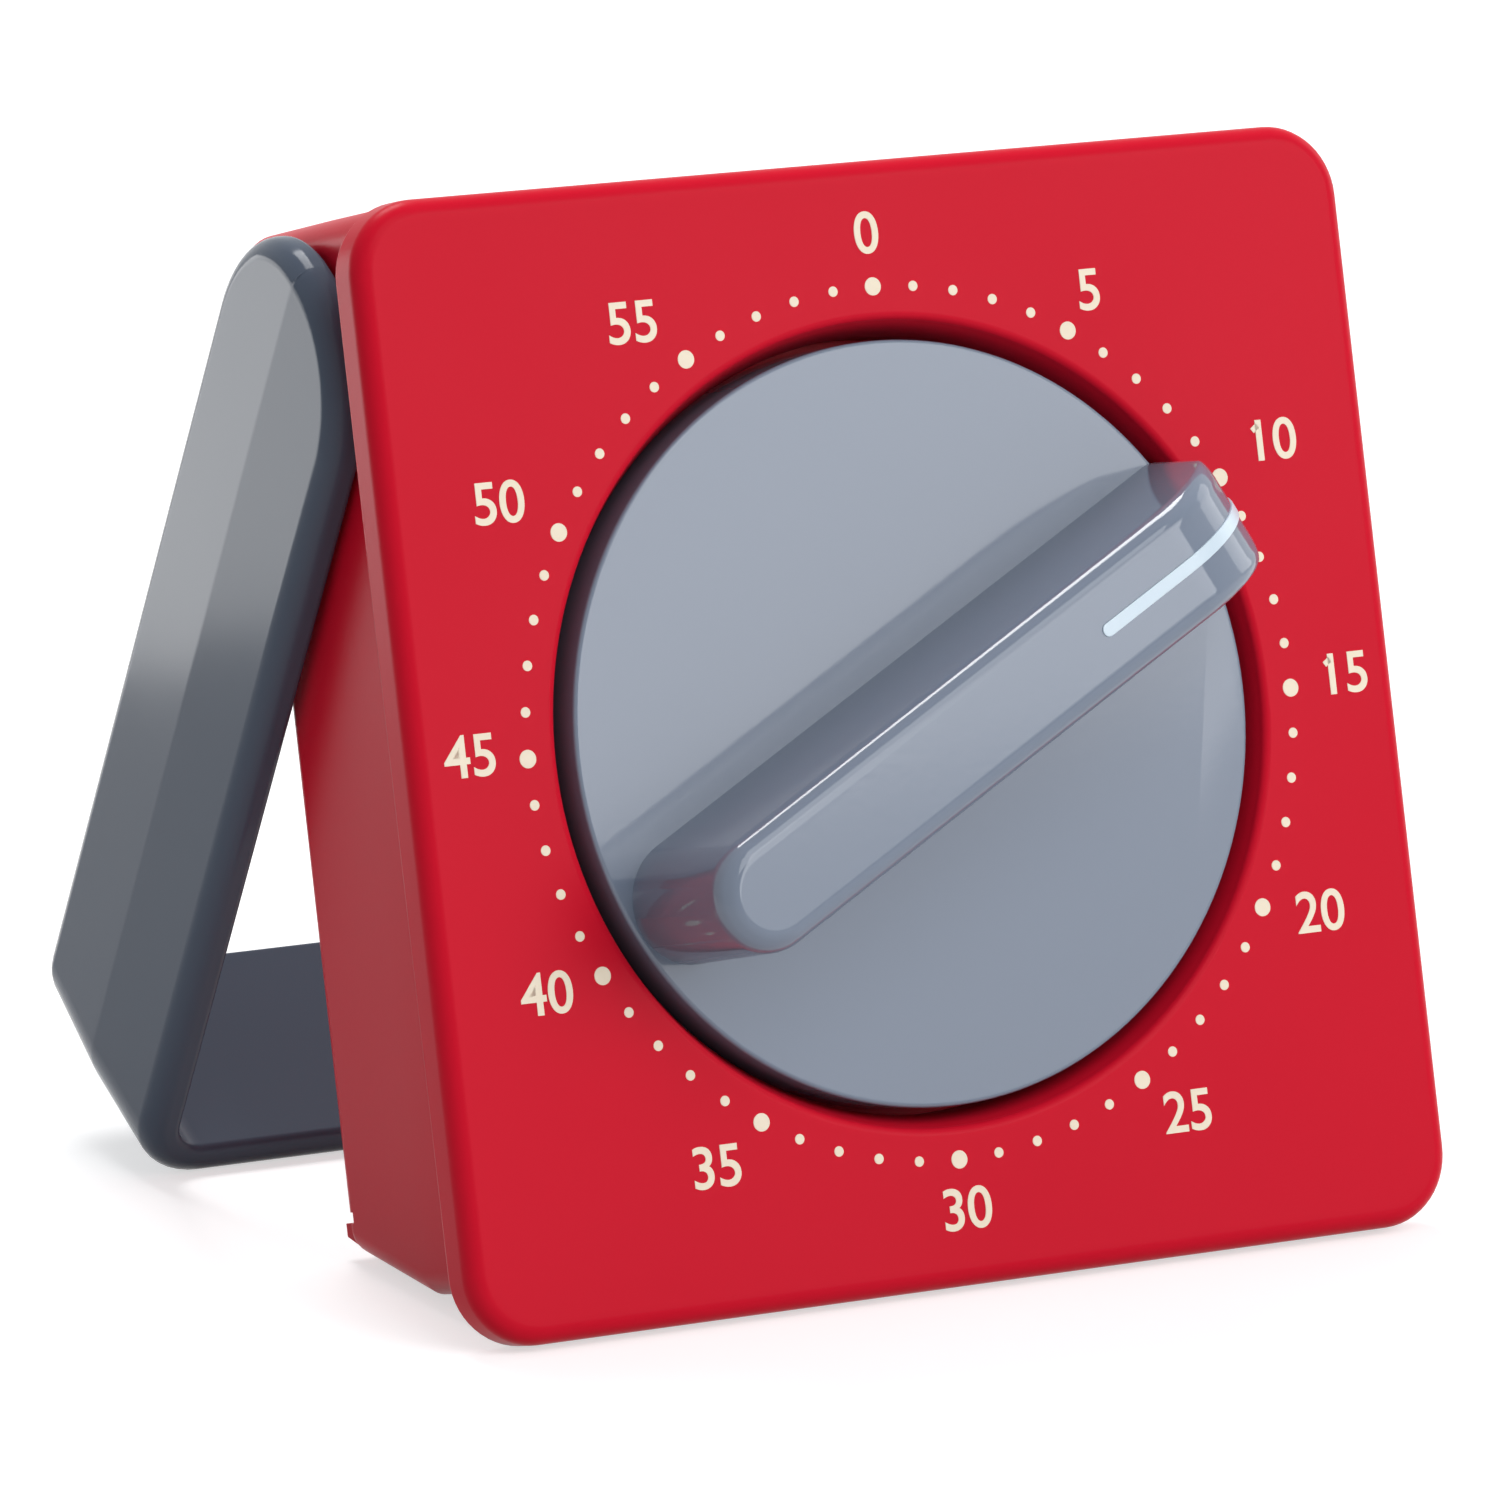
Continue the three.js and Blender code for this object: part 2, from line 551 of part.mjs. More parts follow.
function frontBezel() {
  const front = quarterRound(BEZEL_FRONT_EDGE_RADIUS).map(([y, inset]) => bezelSection(y, inset));
  const back = quarterRound(BEZEL_BACK_EDGE_RADIUS, 2).map(([y, inset]) =>
    bezelSection(BEZEL_THICKNESS - y, inset),
  );
  // the rounds run from the flat side of the edge to the face, so the front one is taken backwards
  const plate = loft([...front.reverse(), ...back]);
  const spigot = caseSection(CASE_FRONT, CASE_WALL + SEAM);
  const spigotRear = BEZEL_THICKNESS + SPIGOT_LENGTH;
  const ring = (inset, y0, y1) =>
    loft(
      [y0, y1].map((y) =>
        atDepth(
          roundedRectangle(
            spigot.halfWidth - inset,
            spigot.low + inset,
            spigot.high - inset,
            Math.max(spigot.radius - inset, 0.8),
          ),
          y,
        ),
      ),
    );
  const shell = plate.add(ring(0, BEZEL_THICKNESS / 2, spigotRear));
  const pocket = ring(SPIGOT_WALL, BEZEL_WALL, spigotRear + PAST);
  const dish = rod(DISH_RADIUS + BEZEL_WALL, BEZEL_WALL / 2, DISH_FLOOR_BACK, 0, 0, MESH_STEPS);
  const posts = screwPlaces.map(([x, z]) => rod(POST_RADIUS, BEZEL_WALL / 2, postRear, x, z));
  const standoffs = MOVEMENT_SCREW_PLACES.map(([x, z]) =>
    rod(MOVEMENT_BOSS_RADIUS, BEZEL_WALL / 2, movementBossRear, x, z),
  );
  const hollow = turned(
    [
      [0, -PAST],
      [DISH_RADIUS + DISH_LIP_RADIUS, -PAST],
      [DISH_RADIUS + DISH_LIP_RADIUS, 0],
      [DISH_RADIUS + DISH_LIP_RADIUS * 0.3, DISH_LIP_RADIUS * 0.3],
      [DISH_RADIUS, DISH_LIP_RADIUS],
      [DISH_RADIUS, DISH_DEPTH],
      [0, DISH_DEPTH],
    ],
    0,
    0,
    MESH_STEPS,
  );
  const pilots = screwPlaces.map(([x, z]) =>
    bore(SCREW_SHANK_RADIUS + RUNNING, postRear - SCREW_LENGTH, postRear + PAST, x, z, 8),
  );
  const movementPilots = MOVEMENT_SCREW_PLACES.map(([x, z]) =>
    bore(MOVEMENT_SCREW_RADIUS + RUNNING, movementPilotFront, movementBossRear + PAST, x, z, 8),
  );
  return without(union([without(shell, [pocket]), dish, ...posts, ...standoffs]), [
    hollow,
    bore(HUB_HOLE_RADIUS, 0, DISH_FLOOR_BACK + PAST, 0, 0, 20),
    ...pilots,
    ...movementPilots,
  ]);
}

// ---------- knob: drawn with its pointer along +x, then turned ----------

const pointerBearing = 90 - POINTER_MINUTES * 6;
const knobTurned = new THREE.Group();
knobTurned.rotation.y = -rad(pointerBearing);
leaning.add(knobTurned);

// A side outline in x and y, made solid from z = -half to z = +half.
function ribSlab(points, half) {
  const shape = new THREE.Shape(points.map(([x, y]) => new THREE.Vector2(x, y)));
  const geometry = new THREE.ExtrudeGeometry(shape, { depth: 2 * half, bevelEnabled: false });
  geometry.translate(0, 0, -half);
  return solid(geometry);
}

// The top of the grip from a distance out to the nose, raised by an offset, down to a last depth.
function noseCurve(from, offset, lastDepth, steps = 12) {
  const centre = GRIP_NOSE_REACH - GRIP_NOSE_LENGTH;
  const points = [[from, -GRIP_HEIGHT - offset]];
  for (let step = 0; step <= steps; step += 1) {
    const angle = (Math.PI / 2) * (step / steps);
    const reach = centre + (GRIP_NOSE_LENGTH + offset) * Math.sin(angle);
    const depth = GRIP_NOSE_ROOT - (GRIP_HEIGHT + GRIP_NOSE_ROOT + offset) * Math.cos(angle);
    if (depth <= lastDepth) points.push([reach, depth]);
  }
  return points;
}

function knob() {
  const backFace = KNOB_DISC_DEPTH;
  const hubRear = DISH_FLOOR_BACK;
  const disc = turned(
    [
      [0, 0],
      [KNOB_RADIUS - KNOB_EDGE_RADIUS, 0],
      [KNOB_RADIUS - KNOB_EDGE_RADIUS * 0.3, KNOB_EDGE_RADIUS * 0.3],
      [KNOB_RADIUS, KNOB_EDGE_RADIUS],
      [KNOB_RADIUS, backFace],
      [KNOB_RADIUS - KNOB_WALL, backFace],
      [KNOB_RADIUS - KNOB_WALL, KNOB_WALL],
      [KNOB_HUB_RADIUS, KNOB_WALL],
      [KNOB_HUB_RADIUS, hubRear],
      [0, hubRear],
    ],
    0,
    0,
    MESH_STEPS,
  );
  const tail = KNOB_RADIUS - KNOB_EDGE_RADIUS;
  const halfBase = GRIP_BASE_WIDTH / 2;
  const halfTop = GRIP_TOP_WIDTH / 2;
  const root = KNOB_WALL / 2;
  const plan = new THREE.Shape();
  plan.moveTo(GRIP_NOSE_REACH, GRIP_NOSE_CORNER - halfBase);
  plan.lineTo(GRIP_NOSE_REACH, halfBase - GRIP_NOSE_CORNER);
  const [cornerX, cornerZ] = [GRIP_NOSE_REACH - GRIP_NOSE_CORNER, halfBase - GRIP_NOSE_CORNER];
  plan.absarc(cornerX, cornerZ, GRIP_NOSE_CORNER, 0, Math.PI / 2);
  plan.absarc(halfBase - tail, 0, halfBase, Math.PI / 2, 1.5 * Math.PI);
  plan.absarc(cornerX, -cornerZ, GRIP_NOSE_CORNER, -Math.PI / 2, 0);
  const planSlab = slab(plan, -GRIP_HEIGHT - PAST, root, 8);
  const edge = quarterRound(GRIP_EDGE_RADIUS);
  const tailRound = edge.map(([down, inset]) => [inset - tail, down - GRIP_HEIGHT]);
  const nose = [...noseCurve(0, 0, root), [GRIP_NOSE_REACH, root]];
  const sideView = ribSlab([[-tail, root], ...tailRound, ...nose], halfBase);
  const topRound = edge.map(([down, inset]) => [halfTop - inset, down - GRIP_HEIGHT]);
  const across = new THREE.Shape(
    [
      [halfBase, root],
      ...topRound,
      ...topRound.map(([z, y]) => [-z, y]).reverse(),
      [-halfBase, root],
    ].map(([z, y]) => new THREE.Vector2(z, y)),
  );
  const length = 3 * KNOB_RADIUS;
  const acrossGeometry = new THREE.ExtrudeGeometry(across, { depth: length, bevelEnabled: false });
  acrossGeometry.rotateY(Math.PI / 2);
  acrossGeometry.translate(-length / 2, 0, 0);
  const grip = planSlab.intersect(sideView).intersect(solid(acrossGeometry));
  const boreFront = PLATE_FRONT_Y - MAIN_SHAFT_IN_KNOB - SEAM;
  const groove = pointerBand(POINTER_PROUD + PAST, POINTER_INSET + SEAM, SEAM, RUNNING);
  return without(disc.add(grip), [shaftSection(RUNNING, boreFront, hubRear + PAST), groove]);
}

// A band along the middle of the grip's nose, from above its surface to below it.
function pointerBand(above, below, longer, wider) {
  const lastDepth = -POINTER_END_HEIGHT + longer;
  const outer = noseCurve(POINTER_START - longer, above, lastDepth);
  const inner = noseCurve(POINTER_START - longer, -below, lastDepth);
  return ribSlab([...outer, ...inner.reverse()], POINTER_WIDTH / 2 + wider);
}

const pointerInlay = () => pointerBand(POINTER_PROUD, POINTER_INSET, 0, 0);

// The round shaft with one flat, larger all round by a clearance.
function shaftSection(clearance, y0, y1) {
  const radius = MAIN_SHAFT_RADIUS + clearance;
  const flat = MAIN_SHAFT_FLAT + clearance;
  const cutOff = block(-radius - PAST, radius + PAST, y0 - PAST, y1 + PAST, flat, radius + PAST);
  return without(rod(radius, y0, y1, 0, 0, 20), [cutOff]);
}

// ---------- stand: drawn folded, then swung open about its pivot ----------

const standOpen = new THREE.Group();
standOpen.position.set(0, PIVOT_Y, PIVOT_Z);
standOpen.rotation.x = rad(STAND_OPEN_ANGLE);
const standFolded = new THREE.Group();
standFolded.position.set(0, -PIVOT_Y, -PIVOT_Z);
standOpen.add(standFolded);
leaning.add(standOpen);

function stand() {
  const earRadius = (STAND_REAR - STAND_FRONT) / 2;
  const earY = (STAND_REAR + STAND_FRONT) / 2;
  // cross-section as pairs of [depth in from the outer skin, y]
  const rearSkin = STAND_REAR_INSET;
  const bevelled = (STAND_REAR - STAND_EDGE_BEVEL - STAND_CREASE) / (STAND_REAR - STAND_CREASE);
  const section = [
    ...quarterRound(STAND_EDGE_RADIUS).map(([inwards, back]) => [inwards, STAND_FRONT + back]),
    [0, STAND_CREASE],
    [rearSkin * bevelled, STAND_REAR - STAND_EDGE_BEVEL],
    [rearSkin + STAND_EDGE_BEVEL / 2, STAND_REAR],
    [rearSkin + STAND_REAR_THICKNESS, STAND_REAR],
    [STAND_THICKNESS, STAND_CREASE],
    [STAND_THICKNESS, STAND_FRONT + STAND_EDGE_BEVEL],
    [STAND_THICKNESS - STAND_EDGE_BEVEL, STAND_FRONT],
  ];
  const top = STAND_EAR_Z + earRadius + PAST;
  const cornerX = STAND_OUTER_X - STAND_CORNER_RADIUS;
  const cornerZ = STAND_BOTTOM + STAND_CORNER_RADIUS;
  const stations = [{ x: -cornerX, z: top, bearing: 180 }];
  for (const [x, bearing] of [[-cornerX, 180], [cornerX, 270]]) {
    for (let step = 0; step <= CORNER_STEPS; step += 1) {
      stations.push({ x, z: cornerZ, bearing: bearing + (90 * step) / CORNER_STEPS });
    }
  }
  stations.push({ x: cornerX, z: top, bearing: 360 });
  const frame = loft(
    stations.map(({ x, z, bearing }) =>
      section.map(([inwards, y]) => {
        const [px, pz] = along(x, z, bearing, STAND_CORNER_RADIUS - inwards);
        return new THREE.Vector3(px, y, pz);
      }),
    ),
    (point) => new THREE.Vector2(point.x, point.y),
  );
  const earFoot = STAND_EAR_Z - 3 * PAST;
  const side = new THREE.Shape();
  side.moveTo(STAND_FRONT - PAST, STAND_BOTTOM - PAST);
  side.lineTo(STAND_REAR + PAST, STAND_BOTTOM - PAST);
  side.lineTo(STAND_REAR + PAST, earFoot);
  side.lineTo(earY + earRadius, earFoot);
  side.absarc(earY, STAND_EAR_Z, earRadius, 0, Math.PI);
  side.lineTo(earY - earRadius, earFoot);
  side.lineTo(STAND_FRONT - PAST, earFoot);
  const trimmed = frame.intersect(sideSlab(side, -BEZEL_WIDTH, BEZEL_WIDTH, 14));
  const inner = STAND_OUTER_X - STAND_THICKNESS - PAST;
  const boreEnd = CASE_HALF_WIDTH + PIVOT_ENGAGEMENT + SEAM;
  const slotEnd = CASE_HALF_WIDTH + STOP_NUB_HEIGHT + SEAM;
  const cutters = [-1, 1].flatMap((sideSign) => [
    crossRod(PIVOT_RADIUS + RUNNING, sideSign * inner, sideSign * boreEnd, PIVOT_Y, PIVOT_Z),
    stopSlot(sideSign, inner, slotEnd),
  ]);
  return without(trimmed, cutters);
}

// The curved slot in an arm in which the case's nub travels, so that its end stops the stand.
function stopSlot(sideSign, inner, slotEnd) {
  const half = STOP_NUB_RADIUS + RUNNING;
  const from = rad(STOP_NUB_ANGLE - STAND_OPEN_ANGLE);
  const to = rad(STOP_NUB_ANGLE);
  const end = (angle) => [
    PIVOT_Y + STOP_NUB_ORBIT * Math.cos(angle),
    PIVOT_Z + STOP_NUB_ORBIT * Math.sin(angle),
  ];
  const shape = new THREE.Shape();
  shape.absarc(PIVOT_Y, PIVOT_Z, STOP_NUB_ORBIT + half, from, to, false);
  shape.absarc(...end(to), half, to, to + Math.PI, false);
  shape.absarc(PIVOT_Y, PIVOT_Z, STOP_NUB_ORBIT - half, to, from, true);
  shape.absarc(...end(from), half, from + Math.PI, from + 2 * Math.PI, false);
  const low = sideSign > 0 ? inner : -slotEnd;
  const high = sideSign > 0 ? slotEnd : -inner;
  return sideSlab(shape, low, high, 4);
}

function standPin(side) {
  const wallInside = sideX(PIVOT_Y) - CASE_WALL - SEAM;
  const headInside = wallInside - PIVOT_HEAD_HEIGHT;
  const middle = wallInside - PIVOT_HEAD_HEIGHT / 2;
  const tip = CASE_HALF_WIDTH + PIVOT_ENGAGEMENT;
  return union([
    crossRod(PIVOT_RADIUS, side * middle, side * tip, PIVOT_Y, PIVOT_Z),
    crossRod(PIVOT_HEAD_RADIUS, side * headInside, side * wallInside, PIVOT_Y, PIVOT_Z),
  ]);
}

// ---------- gear teeth ----------

// Teeth round a pitch circle. One tooth is a row of [half width in modules, height above the pitch
// circle in modules], up one side to the tip; the other side mirrors it.
function toothedOutline(teeth, module, phase, flank) {
  const pitch = (module * teeth) / 2;
  const points = [];
  const corner = (angle, height) => {
    const radius = pitch + height * module;
    points.push([radius * Math.cos(angle), radius * Math.sin(angle)]);
  };
  const tip = flank.at(-1);
  const descent = (tip[0] === 0 ? flank.slice(0, -1) : flank).toReversed();
  for (let tooth = 0; tooth < teeth; tooth += 1) {
    const middle = phase + (tooth * 2 * Math.PI) / teeth;
    for (const [half, height] of flank) corner(middle - (half * module) / pitch, height);
    for (const [half, height] of descent) corner(middle + (half * module) / pitch, height);
  }
  return polygon(points);
}

// wheels: narrow teeth with straight flanks
const WHEEL_FLANK = [[0.75, -1.5], [0.25, 0.85]];
// pinions: thin radial leaves with rounded ends
const LEAF_FLANK = [[0.3, -1.45], [0.45, 0], [0.25, 0.4]];

const centreDistance = (teeth, leaves, module) => (module * (teeth + leaves)) / 2;
const mainToSecond = centreDistance(MAIN_TEETH, SECOND_PINION_TEETH, MAIN_MODULE);
const secondToThird = centreDistance(SECOND_TEETH, THIRD_PINION_TEETH, SECOND_MODULE);
const thirdToEscape = centreDistance(THIRD_TEETH, ESCAPE_PINION_TEETH, THIRD_MODULE);
const secondAt = along(0, 0, SECOND_BEARING, mainToSecond);
const thirdAt = along(...secondAt, THIRD_BEARING, secondToThird);
const escapeAt = along(...thirdAt, ESCAPE_BEARING, thirdToEscape);
const palletAt = along(...escapeAt, PALLET_BEARING, PALLET_DISTANCE);

// A tooth of each wheel, and a space of the pinion that it drives, meet on the line of centres.
function pinionOutline(leaves, module, bearing) {
  const phase = rad(bearing) + Math.PI + Math.PI / leaves;
  return toothedOutline(leaves, module, phase, LEAF_FLANK);
}

const layer = (offset) => PLATE_INNER_Y + offset;

function wheel(outline, [x, z], offset, boreRadius, pitchRadius, spokes = 0) {
  const y0 = layer(offset);
  const y1 = y0 + WHEEL_THICKNESS;
  const geometry = new THREE.ExtrudeGeometry(outline, { depth: WHEEL_THICKNESS, bevelEnabled: false });
  geometry.rotateX(Math.PI / 2);
  geometry.translate(x, y1, z);
  const cutters = [bore(boreRadius, y0 - PAST, y1 + PAST, x, z)];
  // windows between the arms
  const rim = pitchRadius - WHEEL_RIM;
  const hub = boreRadius + WHEEL_HUB_WALL;
  const hubAngle = SPOKE_HALF_ANGLE + SPOKE_FLARE;
  for (let arm = 0; arm < spokes; arm += 1) {
    const from = (arm * 2 * Math.PI) / spokes;
    const to = ((arm + 1) * 2 * Math.PI) / spokes;
    const window = new THREE.Shape();
    window.absarc(x, z, rim, from + SPOKE_HALF_ANGLE, to - SPOKE_HALF_ANGLE, false);
    window.absarc(x, z, hub, to - hubAngle, from + hubAngle, true);
    cutters.push(slab(window, y0 - PAST, y1 + PAST, 3));
  }
  return without(solid(geometry), cutters);
}

function arborWithPinion([x, z], outline, offset) {
  const front = PLATE_FRONT_Y + SEAM;
  const rear = PLATE_REAR_BACK - SEAM;
  const middle = layer(offset) + WHEEL_THICKNESS / 2;
  const geometry = new THREE.ExtrudeGeometry(outline, { depth: PINION_THICKNESS, bevelEnabled: false });
  geometry.rotateX(Math.PI / 2);
  geometry.translate(x, middle + PINION_THICKNESS / 2, z);
  return rod(ARBOR_RADIUS, front, rear, x, z, 16).add(solid(geometry));
}

// ---------- movement ----------

const pillarPlaces = [
  [PILLAR_SPREAD, PILLAR_HIGH],
  [-PILLAR_SPREAD, PILLAR_HIGH],
  [-PILLAR_SPREAD, PILLAR_LOW],
  [PILLAR_SPREAD, PILLAR_LOW],
];
const hammerAt = [HAMMER_X, HAMMER_Z];

// The release arm lies against the underside of the cam, where it is square to the cam's radius.
const releaseOrbit = CAM_RADIUS + SEAM + LEVER_WIDTH / 2;
const hammerBearing = Math.atan2(HAMMER_Z, HAMMER_X);
const releaseBearing = THREE.MathUtils.radToDeg(
  hammerBearing + Math.acos(releaseOrbit / Math.hypot(...hammerAt)),
);

function movementPlate(y0, holes) {
  const outline = roundedRectangle(PLATE_HALF_WIDTH, PLATE_BOTTOM, PLATE_TOP, PLATE_CORNER_RADIUS, 3);
  const y1 = y0 + PLATE_THICKNESS;
  const sheet = loft([atDepth(outline, y0), atDepth(outline, y1)]);
  return without(
    sheet,
    holes.map(([[x, z], radius]) => bore(radius, y0 - PAST, y1 + PAST, x, z)),
  );
}

const arborPlaces = [secondAt, thirdAt, escapeAt, palletAt, hammerAt];
const arborHoles = arborPlaces.map((place) => [place, ARBOR_RADIUS + RUNNING]);
const tenonHoles = pillarPlaces.map((place) => [place, PILLAR_TENON_RADIUS + RUNNING]);
const shaftHole = [[0, 0], MAIN_SHAFT_RADIUS + RUNNING];

function pillar(x, z) {
  const front = PLATE_FRONT_Y;
  const rear = PLATE_REAR_BACK;
  const shoulderFront = PLATE_INNER_Y + RUNNING;
  const shoulderRear = PLATE_REAR_Y - RUNNING;
  return turned(
    [
      [0, front],
      [PILLAR_TENON_RADIUS, front],
      [PILLAR_TENON_RADIUS, shoulderFront],
      [PILLAR_RADIUS, shoulderFront],
      [PILLAR_RADIUS, shoulderRear],
      [PILLAR_TENON_RADIUS, shoulderRear],
      [PILLAR_TENON_RADIUS, rear],
      [0, rear],
    ],
    x,
    z,
  );
}

// Round-headed screw through the front plate into a standoff of the bezel, put in from the rear.
function movementScrew(x, z) {
  const headFront = PLATE_INNER_Y + RUNNING;
  const headRear = headFront + MOVEMENT_SCREW_HEAD_HEIGHT;
  return turned(
    [
      [0, headFront - MOVEMENT_SCREW_LENGTH],
      [MOVEMENT_SCREW_RADIUS, headFront - MOVEMENT_SCREW_LENGTH],
      [MOVEMENT_SCREW_RADIUS, headFront],
      [MOVEMENT_SCREW_HEAD_RADIUS, headFront],
      [MOVEMENT_SCREW_HEAD_RADIUS, headRear - MOVEMENT_SCREW_CROWN],
      [MOVEMENT_SCREW_HEAD_RADIUS - MOVEMENT_SCREW_CROWN, headRear],
      [0, headRear],
    ],
    x,
    z,
    16,
  );
}

function mainspring() {
  // middle line of the strip: a spiral, then a tail to the nearest pillar, ending in a hook round it
  const middle = [];
  const [pillarX, pillarZ] = pillarPlaces[0];
  const pillarDistance = Math.hypot(pillarX, pillarZ);
  const pillarBearing = Math.atan2(pillarZ, pillarX);
  const hook = PILLAR_RADIUS + SEAM + SPRING_STRIP / 2;
  const leaveBearing = pillarBearing - Math.acos((SPRING_OUTER_RADIUS - hook) / pillarDistance);
  const steps = SPRING_TURNS * STEPS_PER_TURN;
  for (let step = 0; step <= steps; step += 1) {
    const share = step / steps;
    const radius = SPRING_INNER_RADIUS + (SPRING_OUTER_RADIUS - SPRING_INNER_RADIUS) * share;
    const bearing = leaveBearing - (1 - share) * SPRING_TURNS * 2 * Math.PI;
    middle.push(new THREE.Vector2(radius * Math.cos(bearing), radius * Math.sin(bearing)));
  }
  for (let step = 0; step <= HOOK_STEPS; step += 1) {
    const bearing = leaveBearing + (step / HOOK_STEPS) * rad(SPRING_HOOK_ANGLE);
    const [x, z] = [pillarX + hook * Math.cos(bearing), pillarZ + hook * Math.sin(bearing)];
    middle.push(new THREE.Vector2(x, z));
  }
  const edges = [[], []];
  middle.forEach((point, i) => {
    const before = middle[Math.max(i - 1, 0)];
    const after = middle[Math.min(i + 1, middle.length - 1)];
    const across = new THREE.Vector2().subVectors(after, before).setLength(SPRING_STRIP / 2);
    edges[0].push([point.x - across.y, point.y + across.x]);
    edges[1].push([point.x + across.y, point.y - across.x]);
  });
  const outline = polygon([...edges[0], ...edges[1].reverse()]);
  return slab(outline, layer(LAYER_SPRING), layer(LAYER_SPRING) + SPRING_WIDTH);
}

function stopCam() {
  const y0 = layer(LAYER_CAM);
  const y1 = y0 + WHEEL_THICKNESS;
  // at zero the notch would face the nose of the release arm
  const notchAt = along(0, 0, releaseBearing - POINTER_MINUTES * 6, CAM_RADIUS);
  const notch = circle(LEVER_WIDTH / 2 + SEAM, ...notchAt);
  return without(slab(circle(CAM_RADIUS), y0, y1, 28), [
    slab(notch, y0 - PAST, y1 + PAST, 8),
    bore(MAIN_SHAFT_RADIUS + RUNNING, y0 - PAST, y1 + PAST),
  ]);
}

// A flat lever of constant width between points, with round ends.
function leverOutline(points, width) {
  const bars = [];
  for (let i = 0; i + 1 < points.length; i += 1) {
    const [[x0, z0], [x1, z1]] = [points[i], points[i + 1]];
    const bearing = Math.atan2(z1 - z0, x1 - x0);
    const bar = new THREE.Shape();
    bar.absarc(x1, z1, width / 2, bearing - Math.PI / 2, bearing + Math.PI / 2, false);
    bar.absarc(x0, z0, width / 2, bearing + Math.PI / 2, bearing + 1.5 * Math.PI, false);
    bars.push(bar);
  }
  return bars;
}

const lever = (points, width, y0, y1) =>
  union(leverOutline(points, width).map((bar) => slab(bar, y0, y1, 8)));

const palletPinPlaces = [-PALLET_PIN_SPREAD, PALLET_PIN_SPREAD].map((spread) =>
  along(...escapeAt, PALLET_BEARING + spread, PALLET_PIN_ORBIT),
);

function palletLever() {
  const y0 = layer(LAYER_ESCAPE) + WHEEL_THICKNESS + SEAM;
  const y1 = y0 + WHEEL_THICKNESS;
  const pinFront = layer(LAYER_ESCAPE) - SEAM;
  const arms = lever([palletPinPlaces[0], palletAt, palletPinPlaces[1]], PALLET_ARM_WIDTH, y0, y1);
  const hub = rod(PALLET_HUB_RADIUS, y0, y1, ...palletAt);
  const pins = palletPinPlaces.map((place) => rod(PALLET_PIN_RADIUS, pinFront, y1, ...place, 12));
  const hole = bore(ARBOR_RADIUS + RUNNING, y0 - PAST, y1 + PAST, ...palletAt);
  return without(union([arms, hub, ...pins]), [hole]);
}

function balanceRing() {
  const y0 = layer(LAYER_MAIN);
  const y1 = y0 + 2 * WHEEL_THICKNESS;
  const [x, z] = palletAt;
  const ring = turned(
    [
      [BALANCE_RADIUS - BALANCE_RIM, y0],
      [BALANCE_RADIUS, y0],
      [BALANCE_RADIUS, y1],
      [BALANCE_RADIUS - BALANCE_RIM, y1],
    ],
    x,
    z,
    28,
  );
  const reach = BALANCE_RADIUS - BALANCE_RIM / 2;
  const ends = [0, 180].map((turn) => along(x, z, BALANCE_BAR_BEARING + turn, reach));
  const bar = lever(ends, BALANCE_BAR_WIDTH, y0, y0 + WHEEL_THICKNESS);
  return without(union([ring, bar]), [bore(ARBOR_RADIUS + RUNNING, y0 - PAST, y1 + PAST, x, z)]);
}

// One leaning tooth of the escape wheel: how far round its pitch, and how deep below the tips.
const ESCAPE_TOOTH = [[0, 0], [0.12, 0], [0.6, 1.3], [0.9, 1.3]];

function escapeWheel() {
  const [x, z] = escapeAt;
  const step = (2 * Math.PI) / ESCAPE_TEETH;
  const points = [];
  for (let tooth = 0; tooth < ESCAPE_TEETH; tooth += 1) {
    for (const [share, depth] of ESCAPE_TOOTH) {
      const at = (tooth + share) * step;
      const radius = ESCAPE_RADIUS - depth;
      points.push([radius * Math.cos(at), radius * Math.sin(at)]);
    }
  }
  return wheel(polygon(points), [x, z], LAYER_ESCAPE, ARBOR_RADIUS + RUNNING, ESCAPE_RADIUS);
}

// ---------- bell and hammer ----------

const bellFront = PLATE_REAR_BACK + BELL_GAP;
const bellApex = bellFront + BELL_DEPTH;
const hammerHeadOrbit = BELL_RADIUS + HAMMER_HEAD_GAP + HAMMER_HEAD_RADIUS;
const hammerHeadAt = along(BELL_X, BELL_Z, HAMMER_HEAD_BEARING, hammerHeadOrbit);
const hammerY = PLATE_REAR_BACK + SEAM;

function bell() {
  const hole = BELL_SCREW_RADIUS + RUNNING;
  const shoulder = BELL_RADIUS * BELL_CROWN;
  return turned(
    [
      [hole, bellApex - BELL_WALL],
      [shoulder, bellApex - BELL_WALL],
      [BELL_RADIUS - BELL_WALL - BELL_DRAFT, bellApex - BELL_SHOULDER_DROP],
      [BELL_RADIUS - BELL_WALL, bellFront],
      [BELL_RADIUS, bellFront],
      [BELL_RADIUS - BELL_DRAFT, bellApex - BELL_SHOULDER_DROP + BELL_WALL / 2],
      [shoulder + BELL_WALL / 2, bellApex],
      [hole, bellApex],
    ],
    BELL_X,
    BELL_Z,
    32,
  );
}

